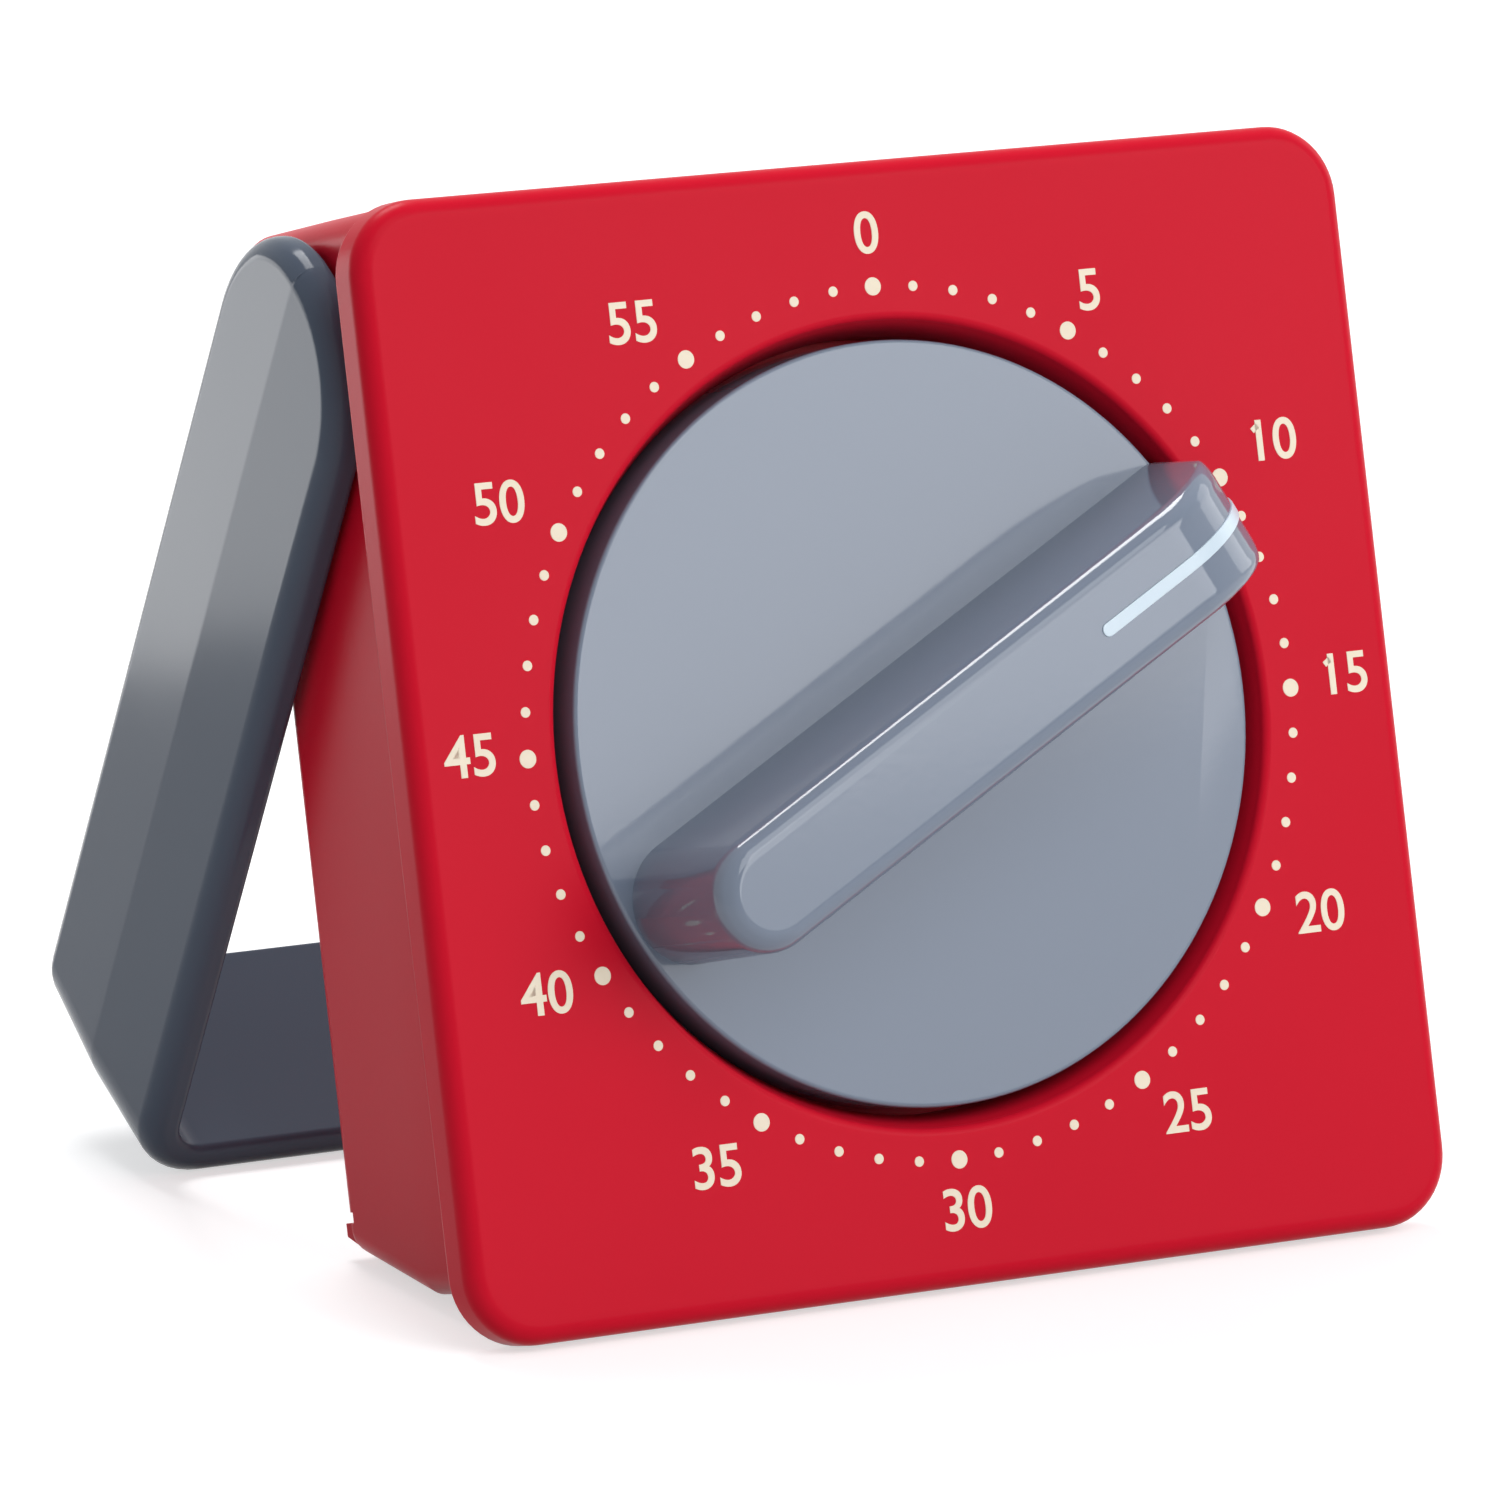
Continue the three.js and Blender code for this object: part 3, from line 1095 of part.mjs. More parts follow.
function bellPost() {
  const top = bellApex - BELL_WALL - SEAM / 2;
  const body = turned(
    [
      [0, PLATE_REAR_Y + RUNNING],
      [BELL_POST_RADIUS * BELL_TENON, PLATE_REAR_Y + RUNNING],
      [BELL_POST_RADIUS * BELL_TENON, PLATE_REAR_BACK + RUNNING],
      [BELL_POST_RADIUS, PLATE_REAR_BACK + RUNNING],
      [BELL_POST_RADIUS, top],
      [0, top],
    ],
    BELL_X,
    BELL_Z,
    24,
  );
  const pilotFront = top - BELL_SCREW_LENGTH;
  return without(body, [bore(BELL_SCREW_RADIUS + RUNNING, pilotFront, top + PAST, BELL_X, BELL_Z)]);
}

function bellScrew() {
  const underHead = bellApex + RUNNING;
  const head = Math.min(BELL_SCREW_HEAD, CASE_INNER_REAR - underHead - SEAM);
  return turned(
    [
      [0, underHead - BELL_SCREW_LENGTH],
      [BELL_SCREW_RADIUS, underHead - BELL_SCREW_LENGTH],
      [BELL_SCREW_RADIUS, underHead],
      [BELL_SCREW_RADIUS * 2, underHead],
      [BELL_SCREW_RADIUS * 2, underHead + head],
      [0, underHead + head],
    ],
    BELL_X,
    BELL_Z,
  );
}

function hammer() {
  const y1 = hammerY + HAMMER_THICKNESS;
  const arm = lever([hammerAt, hammerHeadAt], LEVER_WIDTH, hammerY, y1);
  const head = rod(HAMMER_HEAD_RADIUS, hammerY, hammerY + HAMMER_HEAD_THICKNESS, ...hammerHeadAt);
  const hole = bore(ARBOR_RADIUS + RUNNING, hammerY - PAST, y1 + PAST, ...hammerAt);
  return without(union([arm, head]), [hole]);
}

function releaseArm() {
  const y0 = layer(LAYER_CAM);
  const y1 = y0 + WHEEL_THICKNESS;
  const nose = along(0, 0, releaseBearing, releaseOrbit);
  const arm = lever([hammerAt, nose], LEVER_WIDTH, y0, y1);
  return without(arm, [bore(ARBOR_RADIUS + RUNNING, y0 - PAST, y1 + PAST, ...hammerAt)]);
}

// ---------- assembly ----------

addTo(leaning, "front_bezel", frontBezel(), redPlastic);
addTo(leaning, "case_shell", caseShell(), redPlastic);
screwPlaces.forEach(([x, z], i) => addTo(leaning, `case_screw_${i + 1}`, caseScrew(x, z), steel));
addTo(knobTurned, "knob", knob(), greyPlastic);
addTo(knobTurned, "pointer_inlay", pointerInlay(), palePlastic);
addTo(standFolded, "stand", stand(), slatePlastic);
addTo(leaning, "stand_pin_left", standPin(-1), steel);
addTo(leaning, "stand_pin_right", standPin(1), steel);

addTo(
  leaning,
  "movement_front_plate",
  movementPlate(PLATE_FRONT_Y, [
    shaftHole,
    ...arborHoles,
    ...tenonHoles,
    ...MOVEMENT_SCREW_PLACES.map((place) => [place, MOVEMENT_SCREW_RADIUS + RUNNING]),
  ]),
  brass,
);
addTo(
  leaning,
  "movement_rear_plate",
  movementPlate(PLATE_REAR_Y, [
    shaftHole,
    ...arborHoles,
    ...tenonHoles,
    [[BELL_X, BELL_Z], BELL_POST_RADIUS * BELL_TENON + RUNNING],
  ]),
  brass,
);
pillarPlaces.forEach(([x, z], i) => addTo(leaning, `pillar_${i + 1}`, pillar(x, z), steel));
MOVEMENT_SCREW_PLACES.forEach(([x, z], i) =>
  addTo(leaning, `movement_screw_${i + 1}`, movementScrew(x, z), steel),
);

const flatRear = PLATE_FRONT_Y - SEAM;
const shaftBody = shaftSection(0, PLATE_FRONT_Y - MAIN_SHAFT_IN_KNOB, flatRear).add(
  rod(MAIN_SHAFT_RADIUS, flatRear - RUNNING, PLATE_REAR_BACK, 0, 0, 20),
);
addTo(knobTurned, "main_arbor", shaftBody, steel);
addTo(leaning, "stop_cam", stopCam(), steel);
addTo(leaning, "mainspring", mainspring(), springSteel);
addTo(
  leaning,
  "main_wheel",
  wheel(
    toothedOutline(MAIN_TEETH, MAIN_MODULE, rad(SECOND_BEARING), WHEEL_FLANK),
    [0, 0],
    LAYER_MAIN,
    MAIN_SHAFT_RADIUS + RUNNING,
    (MAIN_MODULE * MAIN_TEETH) / 2,
    4,
  ),
  brass,
);
addTo(
  leaning,
  "second_arbor",
  arborWithPinion(
    secondAt,
    pinionOutline(SECOND_PINION_TEETH, MAIN_MODULE, SECOND_BEARING),
    LAYER_MAIN,
  ),
  steel,
);
addTo(
  leaning,
  "second_wheel",
  wheel(
    toothedOutline(SECOND_TEETH, SECOND_MODULE, rad(THIRD_BEARING), WHEEL_FLANK),
    secondAt,
    LAYER_SECOND,
    ARBOR_RADIUS + RUNNING,
    (SECOND_MODULE * SECOND_TEETH) / 2,
    4,
  ),
  brass,
);
addTo(
  leaning,
  "third_arbor",
  arborWithPinion(
    thirdAt,
    pinionOutline(THIRD_PINION_TEETH, SECOND_MODULE, THIRD_BEARING),
    LAYER_SECOND,
  ),
  steel,
);
addTo(
  leaning,
  "third_wheel",
  wheel(
    toothedOutline(THIRD_TEETH, THIRD_MODULE, rad(ESCAPE_BEARING), WHEEL_FLANK),
    thirdAt,
    LAYER_THIRD,
    ARBOR_RADIUS + RUNNING,
    (THIRD_MODULE * THIRD_TEETH) / 2,
    4,
  ),
  brass,
);
addTo(
  leaning,
  "escape_arbor",
  arborWithPinion(
    escapeAt,
    pinionOutline(ESCAPE_PINION_TEETH, THIRD_MODULE, ESCAPE_BEARING),
    LAYER_THIRD,
  ),
  steel,
);
addTo(leaning, "escape_wheel", escapeWheel(), brass);
addTo(
  leaning,
  "pallet_arbor",
  rod(ARBOR_RADIUS, PLATE_FRONT_Y + SEAM, PLATE_REAR_BACK - SEAM, ...palletAt, 16),
  steel,
);
addTo(leaning, "pallet_lever", palletLever(), steel);
addTo(leaning, "balance_ring", balanceRing(), brass);
const hammerArborEnd = hammerY + HAMMER_THICKNESS + HAMMER_ARBOR_END;
addTo(
  leaning,
  "hammer_arbor",
  rod(ARBOR_RADIUS, PLATE_FRONT_Y + SEAM, hammerArborEnd, ...hammerAt, 16),
  steel,
);
addTo(leaning, "release_arm", releaseArm(), steel);
addTo(leaning, "hammer", hammer(), steel);
addTo(leaning, "bell", bell(), bellMetal);
addTo(leaning, "bell_post", bellPost(), steel);
addTo(leaning, "bell_screw", bellScrew(), steel);

// ---------- the timer leans back on its stand ----------

// How low a piece reaches when the whole timer is leant back by an angle.
function lowest(mesh, angle) {
  const corners = mesh.geometry.attributes.position;
  const corner = new THREE.Vector3();
  let least = Infinity;
  for (let i = 0; i < corners.count; i += 1) {
    corner.fromBufferAttribute(corners, i).applyMatrix4(mesh.matrixWorld);
    least = Math.min(least, corner.z * Math.cos(angle) - corner.y * Math.sin(angle));
  }
  return least;
}

// The more it leans, the lower the stand is beside the bezel: halve the interval until they are level.
timer.updateMatrixWorld(true);
const bezelMesh = timer.getObjectByName("front_bezel");
const standMesh = timer.getObjectByName("stand");
let [upright, fallen] = [0, Math.PI / 4];
for (let halving = 0; halving < 40; halving += 1) {
  const angle = (upright + fallen) / 2;
  if (lowest(standMesh, angle) > lowest(bezelMesh, angle)) upright = angle;
  else fallen = angle;
}
leaning.rotation.x = -upright;

// Origin: under the middle of the timer, on the table.
timer.updateMatrixWorld(true);
const extent = new THREE.Box3().setFromObject(timer, true);
const middle = extent.getCenter(new THREE.Vector3());
leaning.position.set(-middle.x, -middle.y, -extent.min.z);

export default timer;
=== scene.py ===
"""A 60 minute wind-up kitchen timer, standing open on its fold-out stand.

Each outer piece is drawn upright in millimetres, with the dial's centre at the origin,
x to the right, y into the timer and z up, and is then settled where the leaning timer has it.
"""

import json
import math

import bmesh
import bpy
from mathutils import Matrix, Vector


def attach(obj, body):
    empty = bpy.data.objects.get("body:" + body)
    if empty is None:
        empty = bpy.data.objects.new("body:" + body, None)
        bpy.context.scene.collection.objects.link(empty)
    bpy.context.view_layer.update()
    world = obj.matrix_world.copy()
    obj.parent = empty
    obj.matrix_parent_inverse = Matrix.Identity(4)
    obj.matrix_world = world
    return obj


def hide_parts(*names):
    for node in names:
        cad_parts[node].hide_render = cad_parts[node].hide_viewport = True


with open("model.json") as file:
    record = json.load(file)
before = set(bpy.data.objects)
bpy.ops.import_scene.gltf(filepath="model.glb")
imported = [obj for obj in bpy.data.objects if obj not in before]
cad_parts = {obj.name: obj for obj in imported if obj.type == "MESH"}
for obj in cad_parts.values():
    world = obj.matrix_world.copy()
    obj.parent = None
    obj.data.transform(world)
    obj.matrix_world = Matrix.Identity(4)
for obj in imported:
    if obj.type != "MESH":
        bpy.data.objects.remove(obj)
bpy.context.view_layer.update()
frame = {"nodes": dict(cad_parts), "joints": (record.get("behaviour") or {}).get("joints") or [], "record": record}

# ------------------------------------------------------------------ front bezel
# The square front plate, moulded in glossy red ABS with a round dish sunk in it for the knob.
# A rib behind it enters the mouth of the case, and four screws from behind hold the two together.
BEZEL_WIDTH = 75
BEZEL_THICKNESS = 3.4
BEZEL_CORNER = 5
BEZEL_FRONT_EDGE = 1.3
BEZEL_BACK_EDGE = 0.4
RIB_HALF_WIDTH = 31.8
RIB_TOP = 35.2
RIB_DEPTH = 3.6
RIB_CORNER = 1
DISH_RADIUS = 26.8
DISH_DEPTH = 5.4
DISH_LIP = 0.6
DISH_LIP_STEPS = 5
DISH_WALL_DEPTH = 2.6
DISH_FLOOR_RADIUS = 25.9
DISH_SIDES = 160
CUP_FRONT = 1
CUP_WALL = 2.2
CUP_FLOOR = 2
PAST = 1  # how far a cutter reaches past the plastic that it cuts
RED = (0.82, 0.09, 0.18)
DEEP_RED = (0.80, 0.06, 0.16)
GRAIN_SIZE = 0.6
GRAIN_DEPTH = 0.05
MILLIMETRE = 0.001


def only(piece):
    """Selects one piece and nothing else."""
    bpy.ops.object.select_all(action="DESELECT")
    piece.select_set(True)
    bpy.context.view_layer.objects.active = piece


def named(name):
    """Names the piece just added, and puts its size and place in its mesh."""
    piece = bpy.context.object
    piece.name = piece.data.name = name
    bpy.ops.object.transform_apply(location=True, rotation=True, scale=True)
    return piece


def cube(name, low, high):
    """A cube between two corners."""
    low, high = Vector(low), Vector(high)
    bpy.ops.mesh.primitive_cube_add(size=1, location=(low + high) / 2, scale=high - low)
    return named(name)


def cylinder(name, radius, y0, y1, x=0, z=0, sides=48):
    """A cylinder that runs from front to rear."""
    bpy.ops.mesh.primitive_cylinder_add(
        vertices=sides,
        radius=radius,
        depth=y1 - y0,
        location=(x, (y0 + y1) / 2, z),
        rotation=(math.pi / 2, 0, 0),
    )
    return named(name)


def shaping(piece):
    """Opens a piece for shaping, with nothing on it selected."""
    only(piece)
    bpy.ops.object.mode_set(mode="EDIT")
    bpy.ops.mesh.select_all(action="DESELECT")


def pick(kind, test):
    """Selects the faces, edges or corners of the open piece that pass a test."""
    bpy.ops.mesh.select_mode(type=kind)
    bpy.ops.mesh.select_all(action="DESELECT")
    mesh = bmesh.from_edit_mesh(bpy.context.object.data)
    for part in {"FACE": mesh.faces, "EDGE": mesh.edges, "VERT": mesh.verts}[kind]:
        if test(part):
            part.select_set(True)
    mesh.select_flush_mode()
    bmesh.update_edit_mesh(bpy.context.object.data)


def ends(edge):
    """The two ends of an edge."""
    return edge.verts[0].co, edge.verts[1].co


def lies(edge, axis, value, slack=0.01):
    """True where both ends of an edge have that value on an axis."""
    return all(abs(end[axis] - value) < slack for end in ends(edge))


def runs(edge, axis):
    """True where an edge runs along an axis."""
    way = ends(edge)[1] - ends(edge)[0]
    return abs(way[axis]) > 0.999 * way.length


def bevel(offset, segments):
    """Rounds or chamfers the selected edges."""
    bpy.ops.mesh.bevel(offset=offset, segments=segments, affect="EDGES")


def extrude(x, y, z):
    """Draws the selected faces out by a distance along each axis."""
    bpy.ops.mesh.extrude_region_move(TRANSFORM_OT_translate={"value": (x, y, z)})


def widen(x, y, z):
    """Stretches what is selected away from the origin, by a factor along each axis."""
    bpy.ops.transform.resize(value=(x, y, z), center_override=(0, 0, 0))


def shaped():
    """Closes the piece that was open for shaping."""
    bpy.ops.mesh.select_all(action="DESELECT")
    bpy.ops.object.mode_set(mode="OBJECT")


def combine(piece, other, how="DIFFERENCE"):
    """Cuts another piece out of this one, or joins it on, and removes the other."""
    only(piece)
    cut = piece.modifiers.new("cut", "BOOLEAN")
    cut.operation = how
    cut.object = other
    cut.solver = "EXACT"
    bpy.ops.object.modifier_apply(modifier=cut.name)
    bpy.data.objects.remove(other, do_unlink=True)


def polish(piece, degrees=32):
    """Smooth shading that keeps the flats flat."""
    only(piece)
    bpy.ops.object.shade_smooth_by_angle(angle=math.radians(degrees))
    even = piece.modifiers.new("even", "WEIGHTED_NORMAL")
    even.keep_sharp = True
    even.weight = 100
    bpy.ops.object.modifier_apply(modifier=even.name)


turning = next(joint for joint in frame["joints"] if joint["name"] == "knob_turn")
lean = math.atan2(-turning["axis"][2], turning["axis"][1])
standing = (
    Matrix.Translation(turning["pos_m"])
    @ Matrix.Rotation(-lean, 4, "X")
    @ Matrix.Scale(MILLIMETRE, 4)
)


def settle(piece, body, material):
    """Puts a drawn piece in its place on the leaning timer, and gives it its finish."""
    only(piece)
    piece.matrix_world = standing @ piece.matrix_world
    bpy.ops.object.transform_apply(location=True, rotation=True, scale=True)
    piece.data.materials.clear()
    piece.data.materials.append(material)
    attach(piece, body)


class Flow:
    """A value on its way through a material. Sums on it add Math nodes."""

    def __init__(self, socket):
        self.socket = socket

    def add(self, kind, settings=None, inputs=None, output=0):
        """Adds a node of any type to the same material, and gives what flows out of it."""
        tree = self.socket.id_data
        node = tree.nodes.new(kind)
        for name, value in (settings or {}).items():
            setattr(node, name, value)
        for name, value in (inputs or {}).items():
            if isinstance(value, Flow):
                tree.links.new(value.socket, node.inputs[name])
            else:
                node.inputs[name].default_value = value
        return Flow(node.outputs[output])

    def __add__(self, other):
        return self.add("ShaderNodeMath", {"operation": "ADD"}, {0: self, 1: other})

    def __mul__(self, other):
        return self.add("ShaderNodeMath", {"operation": "MULTIPLY"}, {0: self, 1: other})

    __radd__ = __add__
    __rmul__ = __mul__


def linear(colour):
    """A colour as the shader takes it, from how it looks on paper."""
    return (*[c / 12.92 if c <= 0.04045 else ((c + 0.055) / 1.055) ** 2.4 for c in colour], 1)


def finish(name, **constants):
    """A new material: its shader, with constants set on it, and the place on the piece."""
    material = bpy.data.materials.new(name)
    material.use_nodes = True
    shader = material.node_tree.nodes["Principled BSDF"]
    for socket, value in constants.items():
        shader.inputs[socket.replace("_", " ")].default_value = value
    place = Flow(shader.outputs[0]).add("ShaderNodeTexCoord", output="Object")
    return material, shader, place


def feed(shader, **flows):
    """Links flows to a shader's sockets."""
    for socket, flow in flows.items():
        shader.id_data.links.new(flow.socket, shader.inputs[socket.replace("_", " ")])


def clouds(place, size, detail=2.0):
    """Soft noise from 0 to 1 with patches of a size in millimetres."""
    return place.add(
        "ShaderNodeTexNoise",
        inputs={
            "Vector": place,
            "Scale": 1 / (size * MILLIMETRE),
            "Detail": detail,
            "Roughness": 0.5,
        },
    )


def between(low, high, share):
    """A value that goes from low to high with a share."""
    return share * (high - low) + low


def tint(share, first, second):
    """A colour that goes from the first to the second with a share."""
    return share.add(
        "ShaderNodeMix",
        {"data_type": "RGBA"},
        {0: share, 6: linear(first), 7: linear(second)},
        output=2,
    )


def relief(height, strength, depth):
    """A bump that stands as high as a depth in millimetres where the height is 1."""
    return height.add(
        "ShaderNodeBump",
        inputs={"Strength": strength, "Distance": depth * MILLIMETRE, "Height": height},
    )


def moulded(name, light, dark, patch, roughness, grain, **constants):
    """Moulded plastic: patchy colour, uneven gloss and a very fine grain."""
    material, shader, place = finish(name, **constants)
    feed(
        shader,
        Base_Color=tint(clouds(place, patch), light, dark),
        Roughness=between(roughness * 0.85, roughness * 1.2, clouds(place, patch / 2)),
        Normal=relief(clouds(place, GRAIN_SIZE, 4.0), grain, GRAIN_DEPTH),
    )
    return material


red_plastic = moulded(
    "red_plastic", RED, DEEP_RED, patch=40, roughness=0.3, grain=0.08, Specular_IOR_Level=0.06
)

bezel = cube(
    "bezel",
    (-BEZEL_WIDTH / 2, 0, -BEZEL_WIDTH / 2),
    (BEZEL_WIDTH / 2, BEZEL_THICKNESS, BEZEL_WIDTH / 2),
)
shaping(bezel)
pick("EDGE", lambda edge: runs(edge, 1))
bevel(BEZEL_CORNER, 14)
pick("EDGE", lambda edge: lies(edge, 1, 0))
bevel(BEZEL_FRONT_EDGE, 7)
pick("EDGE", lambda edge: lies(edge, 1, BEZEL_THICKNESS))
bevel(BEZEL_BACK_EDGE, 3)
shaped()
rib = cube(
    "rib",
    (-RIB_HALF_WIDTH, BEZEL_THICKNESS / 2, -RIB_HALF_WIDTH),
    (RIB_HALF_WIDTH, BEZEL_THICKNESS + RIB_DEPTH, RIB_TOP),
)
shaping(rib)
pick("EDGE", lambda edge: runs(edge, 1))
bevel(RIB_CORNER, 6)
shaped()
combine(bezel, rib, "UNION")
cup = cylinder(
    "cup", DISH_RADIUS + CUP_WALL, CUP_FRONT, DISH_DEPTH + CUP_FLOOR, sides=DISH_SIDES
)
combine(bezel, cup, "UNION")

# the dish is cut by a plug that widens up its wall and then round its lip
dish = cylinder("dish", DISH_FLOOR_RADIUS, DISH_WALL_DEPTH, DISH_DEPTH, sides=DISH_SIDES)
shaping(dish)
pick("FACE", lambda face: face.normal.y < -0.99)
extrude(0, DISH_LIP - DISH_WALL_DEPTH, 0)
wide = DISH_RADIUS / DISH_FLOOR_RADIUS
widen(wide, 1, wide)
pick("FACE", lambda face: face.normal.y < -0.99)
for step in range(1, DISH_LIP_STEPS + 1):
    here, last = (math.radians(90 / DISH_LIP_STEPS * turn) for turn in (step, step - 1))
    extrude(0, -DISH_LIP * (math.sin(here) - math.sin(last)), 0)
    wide = (DISH_RADIUS + DISH_LIP * (1 - math.cos(here))) / (
        DISH_RADIUS + DISH_LIP * (1 - math.cos(last))
    )
    widen(wide, 1, wide)
extrude(0, -PAST, 0)
shaped()
combine(bezel, dish)
polish(bezel)
settle(bezel, "timer", red_plastic)
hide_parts("front_bezel")

# ------------------------------------------------------------------ dial print
# Sixty dots and twelve numbers round the dish, pad-printed in cream ink that stands a
# hair above the plastic. Every fifth dot is larger.
DOT_CIRCLE = 29.07
DOT_RADIUS = 0.35
FIFTH_DOT_RADIUS = 0.61
DOT_EDGE = 0.02
PRINT_TURN = 0.9  # degrees that the dots stand clockwise of upright
INK = 0.04
NUMBER_HEIGHT = 2.75
DIGIT_SHARE = 0.7  # a digit's height as a share of the size of its lettering
NUMBER_WEIGHT = 0.045
NUMBER_PLACES = {
    "0": (0.4, 32.5),
    "5": (16.9, 27.4),
    "10": (29.8, 16.2),
    "15": (33.4, 0),
    "20": (29.4, -15.8),
    "25": (17.4, -28),
    "30": (-0.3, -32.5),
    "35": (-18.6, -27.6),
    "40": (-29.6, -15),
    "45": (-33.2, 0.9),
    "50": (-29.1, 17.1),
    "55": (-17.8, 28),
}
FLAG_LENGTH = 0.45
FLAG_ROOT = 0.1
FLAG_STROKE = 0.4
FLAG_HEIGHT = 1.1
FLAG_TILT = 35
CREAM = (0.965, 0.91, 0.82)
DULL_CREAM = (0.93, 0.87, 0.77)

cream_ink, shader, place = finish("cream_ink", IOR=1.45)
feed(
    shader,
    Base_Color=tint(clouds(place, 1.2), CREAM, DULL_CREAM),
    Roughness=between(0.4, 0.55, clouds(place, 3)),
)

dots = []
for minute in range(60):
    fifth = minute % 5 == 0
    if minute < 2:  # one large dot and one small one, and the others are copies of them
        dot = cylinder("dot", FIFTH_DOT_RADIUS if fifth else DOT_RADIUS, -INK, INK, sides=28)
        shaping(dot)
        pick("EDGE", lambda edge: lies(edge, 1, -INK, 0.001))
        bevel(DOT_EDGE, 2)
        shaped()
    else:
        dot = dots[0 if fifth else 1].copy()
        dot.data = dot.data.copy()
        bpy.context.collection.objects.link(dot)
    around = math.radians(90 - 6 * minute - PRINT_TURN)
    dot.location = (DOT_CIRCLE * math.cos(around), 0, DOT_CIRCLE * math.sin(around))
    dots.append(dot)


def joined(parts, name):
    """Joins several parts into one piece."""
    only(parts[0])
    for part in parts:
        part.select_set(True)
    bpy.ops.object.join()
    return named(name)


minute_dots = joined(dots, "minute_dots")
polish(minute_dots)
settle(minute_dots, "timer", cream_ink)

numbers = []
for text, (x, z) in NUMBER_PLACES.items():
    bpy.ops.object.text_add(rotation=(math.pi / 2, 0, 0))
    number = bpy.context.object
    number.data.body = text
    number.data.align_x = "CENTER"
    number.data.align_y = "CENTER"
    number.data.size = NUMBER_HEIGHT / DIGIT_SHARE
    number.data.extrude = INK
    number.data.offset = NUMBER_WEIGHT
    bpy.ops.object.convert(target="MESH")
    number = bpy.context.object
    number.location = (x, 0, z)
    numbers.append(number)
    if text.startswith("1"):  # the short stroke at the top of a one
        half = FLAG_STROKE / 2
        flag = cube("flag", (-FLAG_LENGTH, -INK, -half), (FLAG_ROOT, INK, half))
        flag.rotation_euler.y = math.radians(-FLAG_TILT)
        left = min(vert.co.x for vert in number.data.vertices)
        flag.location = (x + left + FLAG_ROOT, 0, z + FLAG_HEIGHT)
        numbers.append(flag)
dial_numbers = joined(numbers, "dial_numbers")
settle(dial_numbers, "timer", cream_ink)

# ------------------------------------------------------------------ knob
# One moulding in glossy blue-grey plastic: a thick round disc that fills the dish, with a tall
# straight fin across it to wind by. It is pressed on the flatted end of the main arbor.
KNOB_RADIUS = 25.5
KNOB_DEPTH = 4.8
KNOB_EDGE = 0.3
KNOB_WALL = 1.8
KNOB_HOLLOW = 3
FIN_ROOT = KNOB_DEPTH / 4  # how far the fin reaches into the disc
FIN_HEIGHT = 11.8
FIN_WIDTH = 8.5
FIN_DRAFT = 0.3
FIN_EDGE = 1.5
FIN_EDGE_STEPS = 6
TAIL_REACH = 25.1
NOSE_REACH = 26.4
NOSE_LENGTH = 9.3
NOSE_ROOT = 1.8
NOSE_CORNER = 1.95
POINTER_BEARING = 90 - 6 * 10.28
BLUE_GREY = (0.46, 0.505, 0.575)
DARK_BLUE_GREY = (0.45, 0.495, 0.565)

grey_plastic = moulded(
    "grey_plastic", BLUE_GREY, DARK_BLUE_GREY, patch=25, roughness=0.07, grain=0.03
)

knob = cylinder("winding_knob", KNOB_RADIUS, 0, KNOB_DEPTH, sides=180)
shaping(knob)
pick("EDGE", lambda edge: lies(edge, 1, 0))
bevel(KNOB_EDGE, 4)
pick("FACE", lambda face: face.normal.y > 0.99)
bpy.ops.mesh.inset(thickness=KNOB_WALL)
extrude(0, -KNOB_HOLLOW, 0)
shaped()

bpy.ops.mesh.primitive_plane_add(
    size=1,
    location=((NOSE_REACH - TAIL_REACH) / 2, FIN_ROOT, 0),
    rotation=(math.pi / 2, 0, 0),
)
bpy.context.object.scale = (NOSE_REACH + TAIL_REACH, FIN_WIDTH, 1)
fin = named("fin")
shaping(fin)
pick("VERT", lambda vert: vert.co.x < 0)
bpy.ops.mesh.bevel(offset=FIN_WIDTH / 2, segments=20, affect="VERTICES")
pick("VERT", lambda vert: vert.co.x > 0)
bpy.ops.mesh.bevel(offset=NOSE_CORNER, segments=9, affect="VERTICES")
bpy.ops.mesh.select_mode(type="FACE")
bpy.ops.mesh.select_all(action="SELECT")
bpy.ops.mesh.remove_doubles(threshold=0.001)
extrude(0, -FIN_ROOT, 0)


def step_in(inwards, up):
    """Raises the top of the fin by a step that also comes in."""
    bpy.ops.mesh.inset(thickness=inwards, depth=up, use_even_offset=True)


step_in(FIN_DRAFT, FIN_HEIGHT - FIN_EDGE)
for step in range(1, FIN_EDGE_STEPS + 1):  # the round along the top
    here, last = (math.radians(90 / FIN_EDGE_STEPS * turn) for turn in (step, step - 1))
    step_in(
        FIN_EDGE * (math.cos(last) - math.cos(here)), FIN_EDGE * (math.sin(here) - math.sin(last))
    )


def nose_height(x):
    """How high the fin stands at a distance out along its nose."""
    share = min(max((x - NOSE_REACH + NOSE_LENGTH) / NOSE_LENGTH, 0), 1)
    return NOSE_ROOT + (FIN_HEIGHT - NOSE_ROOT) * math.sqrt(1 - share * share)


nose_start = NOSE_REACH - NOSE_LENGTH


def nose_stations():
    """The places along the nose at which the fin has corners."""
    corners = bmesh.from_edit_mesh(fin.data).verts
    return {round(vert.co.x, 3) for vert in corners if vert.co.x > nose_start}


